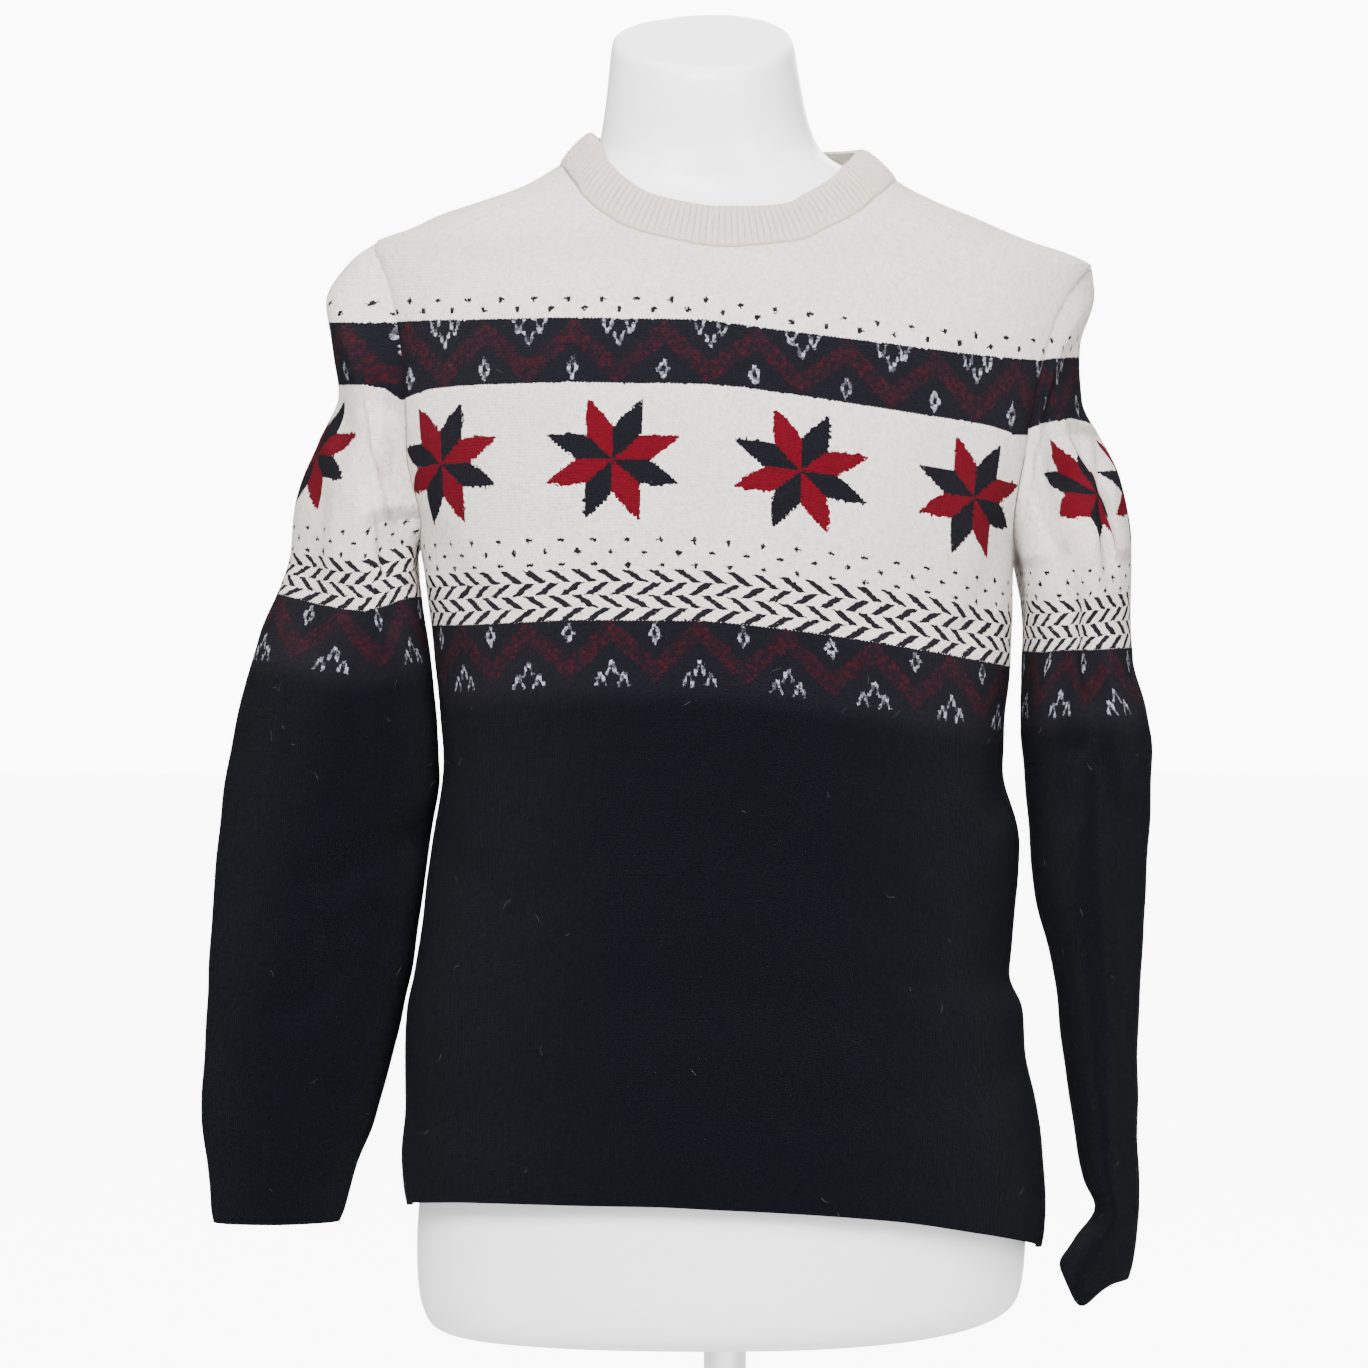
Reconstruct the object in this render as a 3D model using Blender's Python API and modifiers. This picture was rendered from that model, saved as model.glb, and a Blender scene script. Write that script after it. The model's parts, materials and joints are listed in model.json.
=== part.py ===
"""A knitted christmas sweater on a limbless display torso, with its pole and base.

Metres, +Z up, the front faces -Y. The origin is on the underside of the base, on the pole's axis.
Left and right are the viewer's, seen from the front, unless a name says that they are the wearer's.
The cloth is cut as the real garment is: a front, a back, two sleeves and a ribbed neckband.
"""
import math

import bmesh
import bpy
import numpy as np

# Cloth
CLOTH_WALL = 0.0026
BAND_WALL = 0.0032
SEAM_GAP = 0.0003
BAND_GAP = 0.0006
CLOTH_SHIFT = -0.003

# Neckband ribs
RIB_COUNT = 150
RIB_RISE = 0.0006
BAND_BULGE = 0.0012

# Armholes, as half ellipses cut into the front and the back
ARMHOLE_DEPTH_FRONT = 0.060
ARMHOLE_DEPTH_BACK = 0.062
ARMHOLE_SQUARENESS = 2.2
LEFT_UNDERARM = 0.724
RIGHT_UNDERARM = 0.722
LEFT_SHOULDER_TIP = 0.9105
RIGHT_SHOULDER_TIP = 0.8945
YOKE_DIP = 0.036

# Mesh density
ROWS_BELOW_ARMHOLE = 14
ROWS_OF_ARMHOLE = 12
ROWS_OF_SHOULDER = 8
COLUMNS_OF_PANEL = 18
RINGS_OF_SLEEVE = 24
SIDES_OF_TORSO = 28
TORSO_ROWS_BELOW = 14
TORSO_ROWS_OF_SHOULDER = 17
RING_SAMPLES = 97

# Stand: the torso's shoulders are the cloth's, lowered and drawn in
SHOULDER_DROP = 0.0028
SHOULDER_INSET = 0.0029
HIPS_FROM = 0.270
SHOULDERS_FROM = 0.885
SHOULDERS_TO = 0.960
SOFT_CORNER = 0.005
TORSO_UNDERSIDE = 0.241
POLE_RADIUS = 0.013
BASE_RADIUS = 0.150
BASE_THICKNESS = 0.012
BASE_BEVEL = 0.003


def table(columns, *rows):
    """Measures by name: the first column says where along the piece each row lies."""
    names = columns.split()
    values = np.array(rows, dtype=float)
    return {name: values[:, place] for place, name in enumerate(names)}


# The cloth round the body: half widths and depths from the axis at each height
BODY = table(
    "height left right front back squareness",
    (0.285, 0.191, 0.1975, 0.117, 0.112, 2.35),
    (0.320, 0.193, 0.1995, 0.118, 0.112, 2.35),
    (0.351, 0.195, 0.198, 0.117, 0.111, 2.35),
    (0.382, 0.193, 0.194, 0.115, 0.109, 2.35),
    (0.414, 0.193, 0.187, 0.113, 0.107, 2.35),
    (0.440, 0.192, 0.1855, 0.111, 0.105, 2.35),
    (0.462, 0.1875, 0.1778, 0.109, 0.103, 2.35),
    (0.500, 0.182, 0.181, 0.107, 0.101, 2.35),
    (0.540, 0.177, 0.184, 0.106, 0.100, 2.35),
    (0.590, 0.170, 0.1735, 0.107, 0.100, 2.35),
    (0.654, 0.175, 0.178, 0.111, 0.104, 2.40),
    (0.724, 0.184, 0.181, 0.115, 0.108, 2.45),
    (0.780, 0.201, 0.199, 0.113, 0.109, 2.45),
    (0.830, 0.211, 0.213, 0.107, 0.105, 2.40),
    (0.870, 0.217, 0.223, 0.096, 0.098, 2.35),
    (0.893, 0.219, 0.2285, 0.087, 0.090, 2.30),
    (0.901, 0.218, 0.2160, 0.084, 0.087, 2.30),
    (0.909, 0.2120, 0.1925, 0.080, 0.083, 2.30),
    (0.917, 0.1918, 0.1730, 0.077, 0.080, 2.27),
    (0.925, 0.1740, 0.1542, 0.074, 0.077, 2.25),
    (0.933, 0.1518, 0.1342, 0.072, 0.074, 2.22),
    (0.941, 0.1275, 0.1180, 0.070, 0.070, 2.20),
    (0.949, 0.1102, 0.1055, 0.068, 0.067, 2.17),
    (0.957, 0.0985, 0.0950, 0.066, 0.064, 2.15),
    (0.975, 0.0800, 0.0790, 0.061, 0.058, 2.10),
)

# The cut edges across a panel, from its left edge at 0 to its right edge at 1
EDGES = table(
    "across hem_front hem_back neck_front neck_back",
    (0.00, 0.319, 0.319, 0.9570, 0.957),
    (0.10, 0.326, 0.318, 0.9535, 0.956),
    (0.20, 0.330, 0.316, 0.9438, 0.953),
    (0.30, 0.331, 0.314, 0.9303, 0.951),
    (0.40, 0.331, 0.312, 0.9115, 0.949),
    (0.50, 0.329, 0.309, 0.8994, 0.948),
    (0.60, 0.326, 0.306, 0.9035, 0.948),
    (0.70, 0.321, 0.303, 0.9180, 0.948),
    (0.80, 0.312, 0.299, 0.9332, 0.948),
    (0.90, 0.302, 0.296, 0.9435, 0.948),
    (1.00, 0.293, 0.293, 0.9470, 0.947),
)

# A sleeve's rings down its outer edge: both edges as seen from the front, its depth, how far
# a ring is turned in degrees, and how far its front hangs down
LEFT_SLEEVE = table(
    "way outer_x outer_z inner_x inner_z front back lean droop",
    (0.000, -0.2102, 0.9105, -0.1840, 0.724, 0.058, 0.062, 0, 0),
    (0.020, -0.2252, 0.9000, -0.1865, 0.716, 0.060, 0.064, 0, 0),
    (0.048, -0.2408, 0.8750, -0.1870, 0.709, 0.063, 0.066, 0, 0),
    (0.078, -0.2368, 0.8470, -0.1855, 0.701, 0.065, 0.067, 0, 0),
    (0.107, -0.2335, 0.8180, -0.1838, 0.692, 0.066, 0.067, 0, 0),
    (0.139, -0.2470, 0.7880, -0.1812, 0.680, 0.066, 0.066, 4, 0),
    (0.179, -0.2615, 0.7500, -0.1780, 0.662, 0.064, 0.063, 8, 0),
    (0.211, -0.2648, 0.7180, -0.1757, 0.644, 0.061, 0.060, 10, 0),
    (0.265, -0.2840, 0.6680, -0.1732, 0.616, 0.054, 0.052, 10, 0),
    (0.329, -0.3000, 0.6060, -0.1714, 0.584, 0.045, 0.043, 8, 0),
    (0.386, -0.3080, 0.5500, -0.1783, 0.540, 0.038, 0.037, 4, 0),
    (0.456, -0.3130, 0.4800, -0.1875, 0.472, 0.033, 0.033, 0, 0),
    (0.522, -0.3160, 0.4140, -0.2015, 0.410, 0.028, 0.029, -4, 0),
    (0.562, -0.3185, 0.3740, -0.2120, 0.371, 0.025, 0.027, -6, 0),
    (0.592, -0.3145, 0.3450, -0.2230, 0.343, 0.023, 0.025, -6, 0),
    (0.628, -0.3115, 0.3090, -0.2325, 0.309, 0.022, 0.024, -6, 0),
)
RIGHT_SLEEVE = table(
    "way outer_x outer_z inner_x inner_z front back lean droop",
    (0.000, 0.2275, 0.8945, 0.1810, 0.7220, 0.058, 0.062, 0, 0),
    (0.018, 0.2290, 0.8770, 0.1840, 0.7140, 0.059, 0.063, 0, 0),
    (0.050, 0.2205, 0.8460, 0.1860, 0.7040, 0.060, 0.064, 0, 0),
    (0.082, 0.2215, 0.8140, 0.1870, 0.6900, 0.061, 0.064, 0, 0),
    (0.112, 0.2345, 0.7880, 0.1865, 0.6780, 0.061, 0.063, 0, 0),
    (0.142, 0.2455, 0.7640, 0.1860, 0.6650, 0.060, 0.062, 0, 0),
    (0.178, 0.2520, 0.7280, 0.1850, 0.6450, 0.059, 0.060, 0, 0),
    (0.226, 0.2518, 0.6800, 0.1845, 0.6220, 0.058, 0.058, 0, 0),
    (0.252, 0.2530, 0.6540, 0.1850, 0.6060, 0.057, 0.057, 0, 0),
    (0.285, 0.2620, 0.6220, 0.1868, 0.5880, 0.056, 0.056, 0, 0),
    (0.312, 0.2650, 0.5950, 0.1880, 0.5700, 0.056, 0.055, 0, 0),
    (0.388, 0.2620, 0.5200, 0.1925, 0.5120, 0.054, 0.054, 4, 0),
    (0.438, 0.2595, 0.4700, 0.2040, 0.4660, 0.052, 0.053, 6, 0),
    (0.498, 0.2572, 0.4100, 0.2110, 0.4080, 0.049, 0.050, 8, 0),
    (0.548, 0.2572, 0.3600, 0.2180, 0.3600, 0.045, 0.046, 12, 0),
    (0.574, 0.2586, 0.3340, 0.2225, 0.3350, 0.043, 0.044, 18, 0.000),
    (0.590, 0.2590, 0.3180, 0.2290, 0.3190, 0.042, 0.043, 22, 0.000),
    (0.612, 0.2576, 0.2970, 0.2145, 0.2980, 0.042, 0.041, 31, 0.004),
    (0.626, 0.2562, 0.2830, 0.2062, 0.2860, 0.042, 0.040, 36, 0.009),
    (0.638, 0.2545, 0.2715, 0.2075, 0.2780, 0.042, 0.038, 40, 0.0140),
)
DROOP_TURN = 122
DROOP_WIDTH = 34

# The neckband round the neck, by compass angle from the front towards the viewer's right
NECKBAND = table(
    "angle rise inward",
    (0, 0.0260, 0.0130),
    (90, 0.0200, 0.0215),
    (180, 0.0255, 0.0090),
    (270, 0.0205, 0.0190),
    (360, 0.0260, 0.0130),
)

# The largest soft folds, as troughs along lines seen from the front: face is -1 front, 1 back
FOLDS = table(
    "face start_x start_z end_x end_z depth width",
    (-1, 0.147, 0.537, 0.178, 0.470, 0.0035, 0.020),
    (-1, -0.043, 0.454, 0.086, 0.445, 0.0030, 0.022),
    (-1, -0.185, 0.544, -0.240, 0.519, 0.0060, 0.013),
    (-1, -0.228, 0.468, -0.262, 0.442, 0.0050, 0.013),
    (-1, -0.249, 0.764, -0.252, 0.666, 0.0055, 0.013),
    (-1, 0.212, 0.764, 0.220, 0.605, 0.0080, 0.011),
    (-1, 0.246, 0.560, 0.248, 0.345, 0.0035, 0.010),
    (1, -0.120, 0.560, -0.020, 0.520, 0.0035, 0.022),
    (1, 0.060, 0.470, 0.150, 0.440, 0.0030, 0.022),
    (1, -0.190, 0.550, -0.245, 0.530, 0.0060, 0.013),
    (1, -0.235, 0.458, -0.270, 0.430, 0.0050, 0.013),
    (1, 0.214, 0.740, 0.224, 0.600, 0.0070, 0.011),
)

# The display torso: its half widths and depths, and the forward tilt of the neck's rings
TORSO = table(
    "height left right front back squareness tilt",
    (0.2410, 0.1580, 0.1080, 0.0840, 0.082, 2.30, 0.000),
    (0.2425, 0.1690, 0.1340, 0.0940, 0.092, 2.30, 0.000),
    (0.2470, 0.1785, 0.1600, 0.1010, 0.099, 2.30, 0.000),
    (0.2560, 0.1825, 0.1800, 0.1055, 0.103, 2.30, 0.000),
    (0.2700, 0.1865, 0.1865, 0.1080, 0.105, 2.30, 0.000),
    (0.2900, 0.1885, 0.1900, 0.1090, 0.105, 2.30, 0.000),
    (0.3300, 0.1850, 0.1885, 0.1080, 0.103, 2.30, 0.000),
    (0.4000, 0.1720, 0.1720, 0.1000, 0.096, 2.30, 0.000),
    (0.4800, 0.1580, 0.1600, 0.0920, 0.088, 2.30, 0.000),
    (0.5600, 0.1520, 0.1550, 0.0900, 0.084, 2.30, 0.000),
    (0.6400, 0.1580, 0.1600, 0.0960, 0.090, 2.30, 0.000),
    (0.7240, 0.1680, 0.1680, 0.1040, 0.099, 2.30, 0.000),
    (0.8000, 0.1820, 0.1820, 0.1000, 0.099, 2.30, 0.000),
    (0.8500, 0.1900, 0.1900, 0.0910, 0.093, 2.30, 0.000),
    (0.8930, 0.1920, 0.1920, 0.0760, 0.079, 2.20, 0.000),
    (0.9250, 0.1900, 0.1900, 0.0620, 0.065, 2.05, 0.000),
    (0.9370, 0.1650, 0.1550, 0.0580, 0.060, 2.00, 0.000),
    (0.9450, 0.1180, 0.1120, 0.0560, 0.057, 2.00, 0.000),
    (0.9540, 0.0885, 0.0800, 0.0560, 0.055, 2.00, 0.000),
    (0.9670, 0.0745, 0.0605, 0.0560, 0.053, 2.00, 0.050),
    (0.9850, 0.0718, 0.0535, 0.0570, 0.051, 2.00, 0.180),
    (1.0050, 0.0695, 0.0500, 0.0600, 0.050, 2.00, 0.360),
    (1.0290, 0.0672, 0.0460, 0.0620, 0.050, 2.00, 0.450),
    (1.0345, 0.0658, 0.0445, 0.0605, 0.0485, 2.00, 0.456),
    (1.0365, 0.0620, 0.0410, 0.0570, 0.0450, 2.00, 0.456),
)


def clear_scene():
    for old in list(bpy.data.objects):
        bpy.data.objects.remove(old, do_unlink=True)


def read(measures, column, places):
    """One column of a table on a smooth curve that never passes beyond its rows' values."""
    along = next(iter(measures.values()))
    values = measures[column]
    places = np.clip(np.asarray(places, dtype=float), along[0], along[-1])
    steps = np.diff(along)
    rises = np.diff(values) / steps
    slopes = np.concatenate(([rises[0]], np.zeros(len(rises) - 1), [rises[-1]]))
    before, after = rises[:-1], rises[1:]
    same_way = before * after > 0
    slopes[1:-1][same_way] = (2 * before * after / np.where(same_way, before + after, 1))[same_way]
    row = np.clip(np.searchsorted(along, places, side="right") - 1, 0, len(steps) - 1)
    step = steps[row]
    part = (places - along[row]) / step
    return (
        values[row] * (1 + 2 * part) * (1 - part) ** 2
        + slopes[row] * step * part * (1 - part) ** 2
        + values[row + 1] * part**2 * (3 - 2 * part)
        + slopes[row + 1] * step * part**2 * (part - 1)
    )


def half_oval(left, right, depth, squareness, across):
    """Points on half an oval at even shares of its length, from its left end to its right end."""
    angles = np.linspace(0, math.pi, RING_SAMPLES)
    power = (2 / np.asarray(squareness))[..., None]
    reach = np.abs(np.cos(angles)) ** power
    x = np.where(angles < math.pi / 2, -left[..., None] * reach, right[..., None] * reach)
    y = depth[..., None] * np.sin(angles).clip(0) ** power
    lengths = np.hypot(np.diff(x, axis=-1), np.diff(y, axis=-1))
    run = np.concatenate((np.zeros(lengths.shape[:-1] + (1,)), np.cumsum(lengths, axis=-1)), axis=-1)
    target = np.clip(across, 0, 1) * run[..., -1]
    place = np.clip((run < target[..., None]).sum(axis=-1) - 1, 0, RING_SAMPLES - 2)[..., None]
    low = np.take_along_axis(run, place, -1)
    high = np.take_along_axis(run, place + 1, -1)
    part = ((target[..., None] - low) / (high - low))[..., 0]

    def between(values):
        first = np.take_along_axis(values, place, -1)[..., 0]
        second = np.take_along_axis(values, place + 1, -1)[..., 0]
        return first + (second - first) * part

    return between(x), between(y), run[..., -1]


def body_points(face, across, height):
    """Points of the sweater's outer face, by share across the front or back and by height."""
    across, height = np.broadcast_arrays(np.asarray(across, float), np.asarray(height, float))
    depth = read(BODY, "front" if face < 0 else "back", height)
    x, y, girth = half_oval(
        read(BODY, "left", height),
        read(BODY, "right", height),
        depth,
        read(BODY, "squareness", height),
        across,
    )
    return np.stack((x, face * y, height), axis=-1), girth


def unit(vectors):
    return vectors / np.linalg.norm(vectors, axis=-1, keepdims=True)


def body_normals(face, across, height):
    """Outward normals of that face."""
    aside = 0.002
    lift = 0.001
    right = body_points(face, np.clip(across + aside, 0, 1), height)[0]
    left = body_points(face, np.clip(across - aside, 0, 1), height)[0]
    above = body_points(face, across, height + lift)[0]
    below = body_points(face, across, height - lift)[0]
    return unit(np.cross(right - left, above - below)) * -face


def fold_depth(points, normals):
    """How far the soft folds press a point in, seen from the front or the back."""
    press = np.zeros(points.shape[:-1])
    for face, x0, z0, x1, z1, depth, width in zip(*FOLDS.values()):
        line = np.array((x1 - x0, z1 - z0))
        from_start = points[..., (0, 2)] - np.array((x0, z0))
        share = np.clip(from_start @ line / (line @ line), 0, 1)
        away = np.linalg.norm(from_start - share[..., None] * line, axis=-1)
        facing = np.clip(1.6 * face * normals[..., 1], 0, 1)
        press += facing * depth * np.exp(-((away / width) ** 2))
    return press


def armhole_inset(face, share):
    """How far in from the side line an armhole is cut, by its share of the armhole's height."""
    depth = ARMHOLE_DEPTH_FRONT if face < 0 else ARMHOLE_DEPTH_BACK
    reach = np.abs(2 * np.clip(share, 0, 1) - 1) ** ARMHOLE_SQUARENESS
    return depth * (1 - reach) ** (1 / ARMHOLE_SQUARENESS)


def panel_levels():
    """Row levels of a panel: 0 hem, 1 underarm, 2 shoulder tip, 3 neckline."""
    below = np.linspace(0, 1, ROWS_BELOW_ARMHOLE, endpoint=False)
    turn = np.linspace(0, math.pi, ROWS_OF_ARMHOLE, endpoint=False)
    armhole = 1 + (1 - np.cos(turn)) / 2
    shoulder = np.linspace(2, 3, ROWS_OF_SHOULDER + 1)
    return np.concatenate((below, armhole, shoulder))


def panel(face):
    """Outer points and normals of the front or back, in rows from hem to neckline."""
    even = np.linspace(0, 1, COLUMNS_OF_PANEL + 1)
    across = 0.5 * even + 0.25 * (1 - np.cos(math.pi * even))
    side = "front" if face < 0 else "back"
    hem = read(EDGES, "hem_" + side, across)
    neck = read(EDGES, "neck_" + side, across)
    underarm = LEFT_UNDERARM + (RIGHT_UNDERARM - LEFT_UNDERARM) * across
    tip = LEFT_SHOULDER_TIP + (RIGHT_SHOULDER_TIP - LEFT_SHOULDER_TIP) * across
    tip = tip - YOKE_DIP * np.sin(math.pi * across) ** 2
    levels = panel_levels()[:, None]
    heights = np.where(
        levels < 1,
        hem + (underarm - hem) * levels,
        np.where(levels < 2, underarm + (tip - underarm) * (levels - 1), tip + (neck - tip) * (levels - 2)),
    )
    ends = []
    for column in (0, -1):
        end_height = heights[:, column]
        girth = body_points(face, np.full_like(end_height, 0.5), end_height)[1]
        cut = armhole_inset(face, levels[:, 0] - 1) + SEAM_GAP * 0.6
        ends.append(cut / girth)
    shares = ends[0][:, None] + (1 - ends[0] - ends[1])[:, None] * across
    points = body_points(face, shares, heights)[0]
    normals = body_normals(face, shares, heights)
    points = points - normals * fold_depth(points, normals)[..., None]
    return points, normals


def sleeve_ring(measures, way, angles):
    """One ring of a sleeve: 0 is its outer edge, a quarter turn is the front, a half its inner edge."""
    outer = np.array((read(measures, "outer_x", way), 0, read(measures, "outer_z", way)))
    inner = np.array((read(measures, "inner_x", way), 0, read(measures, "inner_z", way)))
    front = float(read(measures, "front", way))
    back = float(read(measures, "back", way))
    lean = math.radians(float(read(measures, "lean", way)))
    swing = np.cos(angles + lean)[:, None]
    depth = np.where(np.sin(angles) > 0, -front, -back) * np.sin(angles)
    ring = (outer + inner) / 2 + swing * (outer - inner) / 2
    ring[:, 1] = depth
    off_droop = (angles + lean - math.radians(DROOP_TURN)) / math.radians(DROOP_WIDTH)
    ring[:, 2] -= read(measures, "droop", way) * np.exp(-off_droop**2)
    return ring


def sleeve(measures, armhole, edge_normals):
    """Outer points of a sleeve, in rings from the armhole down to the cuff, and their normals."""
    count = len(armhole)
    angles = np.arange(count) * 2 * math.pi / count
    inward = unit(armhole.mean(axis=0) - armhole)
    into_hole = unit(inward - (inward * edge_normals).sum(axis=-1, keepdims=True) * edge_normals)
    start = armhole + unit(into_hole + edge_normals) * SEAM_GAP * 1.5
    length = measures["way"][-1]
    ways = length * np.linspace(0, 1, RINGS_OF_SLEEVE) ** 1.1
    misfit = start - sleeve_ring(measures, 0, angles)
    rings = []
    for way in ways:
        fade = np.clip(1 - way / (0.26 * length), 0, 1)
        fade = fade * fade * (3 - 2 * fade)
        rings.append(sleeve_ring(measures, way, angles) + misfit * fade)
    rings = np.array(rings)
    normals = tube_normals(rings)
    pressed = rings - normals * fold_depth(rings, normals)[..., None]
    pressed[0] = rings[0]
    agree = (normals[0] * edge_normals).sum(axis=-1, keepdims=True)
    smooth_seam = np.clip((agree + 0.2) / 0.6, 0, 1)
    normals[0] = unit(edge_normals * smooth_seam + normals[0] * (1 - smooth_seam))
    return pressed, normals


def tube_normals(rings):
    """Outward normals of a tube of rings, from its neighbours along and around."""
    around = np.roll(rings, -1, axis=1) - np.roll(rings, 1, axis=1)
    along = np.gradient(rings, axis=0)
    normals = unit(np.cross(around, along))
    middle = rings.mean(axis=1, keepdims=True)
    way_out = ((rings - middle) * normals).sum(axis=-1).mean()
    return normals if way_out > 0 else -normals


def even_loop(points, others, count):
    """The same closed loop at an even spacing, with a second set of vectors read along it."""
    closed = np.concatenate((points, points[:1]))
    extra = np.concatenate((others, others[:1]))
    run = np.concatenate(([0], np.cumsum(np.linalg.norm(np.diff(closed, axis=0), axis=1))))
    at = np.linspace(0, run[-1], count, endpoint=False)
    loop = np.stack([np.interp(at, run, closed[:, axis]) for axis in range(3)], axis=-1)
    read_off = np.stack([np.interp(at, run, extra[:, axis]) for axis in range(3)], axis=-1)
    return loop, unit(read_off)


def neckband(neckline, neckline_normals):
    """Outer and inner points of the ribbed band, in rows from its seam up to its free edge."""
    seam, seam_normals = even_loop(neckline, neckline_normals, 2 * RIB_COUNT)
    middle = seam.mean(axis=0)
    aside = seam - middle
    angle = np.degrees(np.arctan2(aside[:, 0], -aside[:, 1])) % 360
    flat = aside * np.array((1, 1, 0))
    climb = read(NECKBAND, "rise", angle)[:, None] * np.array((0, 0, 1.0))
    climb = climb - read(NECKBAND, "inward", angle)[:, None] * unit(flat)
    foot = seam + unit(climb) * BAND_GAP
    along = np.roll(seam, -1, axis=0) - np.roll(seam, 1, axis=0)
    band_normals = unit(np.cross(along, climb))
    rib = RIB_RISE * np.where(np.arange(2 * RIB_COUNT) % 2 == 0, 1, -1)[:, None]
    outer = []
    inner = []
    for share, facing in ((0.0, seam_normals), (0.5, band_normals), (1.0, band_normals)):
        core = foot + climb * share + facing * BAND_BULGE * math.sin(math.pi * share)
        outer.append(core + facing * rib)
        if share != 0.5:
            inner.append(core - facing * BAND_WALL)
    return np.array(outer), np.array(inner)


def soft_least(first, second):
    """The lesser of two values, with the corner between them rounded."""
    blend = np.clip(0.5 + 0.5 * (second - first) / SOFT_CORNER, 0, 1)
    return second + (first - second) * blend - SOFT_CORNER * blend * (1 - blend)


def torso_sides(height):
    """Half widths of the display torso, which lies just under the cloth at its shoulders."""
    sides = []
    for side in ("left", "right"):
        width = read(TORSO, side, height)
        if SHOULDERS_FROM <= height <= SHOULDERS_TO:
            cloth = read(BODY, side, height + SHOULDER_DROP)
            width = soft_least(width, cloth - SHOULDER_INSET)
        sides.append(float(width))
    return sides


def torso_rings():
    """Rings of the display torso, from its underside to the cap of its neck."""
    known = TORSO["height"]
    heights = np.concatenate(
        (
            known[known < HIPS_FROM],
            np.linspace(HIPS_FROM, SHOULDERS_FROM, TORSO_ROWS_BELOW, endpoint=False),
            np.linspace(SHOULDERS_FROM, SHOULDERS_TO, TORSO_ROWS_OF_SHOULDER),
            known[known > SHOULDERS_TO],
        )
    )
    half = SIDES_OF_TORSO // 2
    even = np.linspace(0, 1, half + 1)
    across = 0.5 * even + 0.25 * (1 - np.cos(math.pi * even))
    rings = []
    for height in heights:
        left, right = torso_sides(height)
        square = read(TORSO, "squareness", height)
        tilt = float(read(TORSO, "tilt", height))
        ring = []
        for face, shares in ((-1, across[:-1]), (1, across[:0:-1])):
            depth = read(TORSO, "front" if face < 0 else "back", height)
            measures = (np.full(half, float(value)) for value in (left, right, depth, square))
            x, y, _ = half_oval(*measures, shares)
            ring.append(np.stack((x, face * y, height + tilt * face * y), axis=-1))
        rings.append(np.concatenate(ring))
    return np.array(rings)


def principled(name, colour, roughness, metallic=0.0):
    material = bpy.data.materials.new(name)
    material.use_nodes = True
    shader = material.node_tree.nodes["Principled BSDF"]
    shader.inputs["Base Color"].default_value = (*colour, 1)
    shader.inputs["Roughness"].default_value = roughness
    shader.inputs["Metallic"].default_value = metallic
    material.diffuse_color = (*colour, 1)
    return material


def add_mesh_object(name, points, faces, material, collection, shift=0.0):
    mesh = bpy.data.meshes.new(name)
    mesh.from_pydata([tuple(point) for point in points], [], faces)
    work = bmesh.new()
    work.from_mesh(mesh)
    bmesh.ops.recalc_face_normals(work, faces=work.faces)
    work.to_mesh(mesh)
    work.free()
    mesh.materials.append(material)
    mesh.shade_smooth()
    mesh.set_sharp_from_angle(angle=math.radians(50))
    thing = bpy.data.objects.new(name, mesh)
    thing.location.x = shift
    collection.objects.link(thing)
    return thing


def grid_faces(rows, columns, first, closed, flip):
    """Four-sided faces over a grid of points."""
    faces = []
    for row in range(rows - 1):
        for column in range(columns if closed else columns - 1):
            beside = (column + 1) % columns
            low = first + row * columns
            high = low + columns
            face = (low + column, low + beside, high + beside, high + column)
            faces.append(face[::-1] if flip else face)
    return faces


def rim_faces(points, near, far):
    """Triangles that close a cut edge, split the same way on both sides of a seam."""
    faces = []
    for first, second, first_in, second_in in zip(near, near[1:], far, far[1:]):
        if points[first][2] <= points[second][2]:
            faces += [(first, second, second_in), (first, second_in, first_in)]
        else:
            faces += [(first, second, first_in), (second, second_in, first_in)]
    return faces


def wall_object(name, outer, inner, closed, material, collection):
    """A cloth wall between an outer and an inner grid of points, with its cut edges closed."""
    rows, columns = outer.shape[:2]
    inner_rows = inner.shape[0]
    points = np.concatenate((outer.reshape(-1, 3), inner.reshape(-1, 3)))
    behind = rows * columns
    faces = grid_faces(rows, columns, 0, closed, False)
    faces += grid_faces(inner_rows, columns, behind, closed, True)
    across = list(range(columns)) + ([0] if closed else [])
    for row, inner_row in ((0, 0), (rows - 1, inner_rows - 1)):
        near = [row * columns + column for column in across]
        far = [behind + inner_row * columns + column for column in across]
        faces += rim_faces(points, near, far)
    if not closed:
        for column in (0, columns - 1):
            near = [row * columns + column for row in range(rows)]
            far = [behind + place for place in near]
            faces += rim_faces(points, near, far)
    return add_mesh_object(name, points, faces, material, collection, CLOTH_SHIFT)


def build_body(collection, navy):
    """The front and the back, with the armhole loops and the neckline that the rest is sewn to."""
    panels = {face: panel(face) for face in (-1, 1)}
    for face, name in ((-1, "sweater_front"), (1, "sweater_back")):
        points, normals = panels[face]
        wall_object(name, points, points - normals * CLOTH_WALL, False, navy, collection)
    lowest = ROWS_BELOW_ARMHOLE
    highest = lowest + ROWS_OF_ARMHOLE
    loops = {}
    for side, column in (("left", 0), ("right", -1)):
        edge = []
        for place in (0, 1):
            front = panels[-1][place][lowest:highest + 1, column]
            back = panels[1][place][lowest:highest + 1, column]
            tip = (front[-1] + back[-1]) / 2
            underarm = (front[0] + back[0]) / 2
            edge.append(np.concatenate(([tip], front[-2:0:-1], [underarm], back[1:-1])))
        loops[side] = (edge[0], unit(edge[1]))
    loops["neck"] = [np.concatenate((panels[-1][place][-1], panels[1][place][-1, ::-1]))
                     for place in (0, 1)]
    return loops


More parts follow.
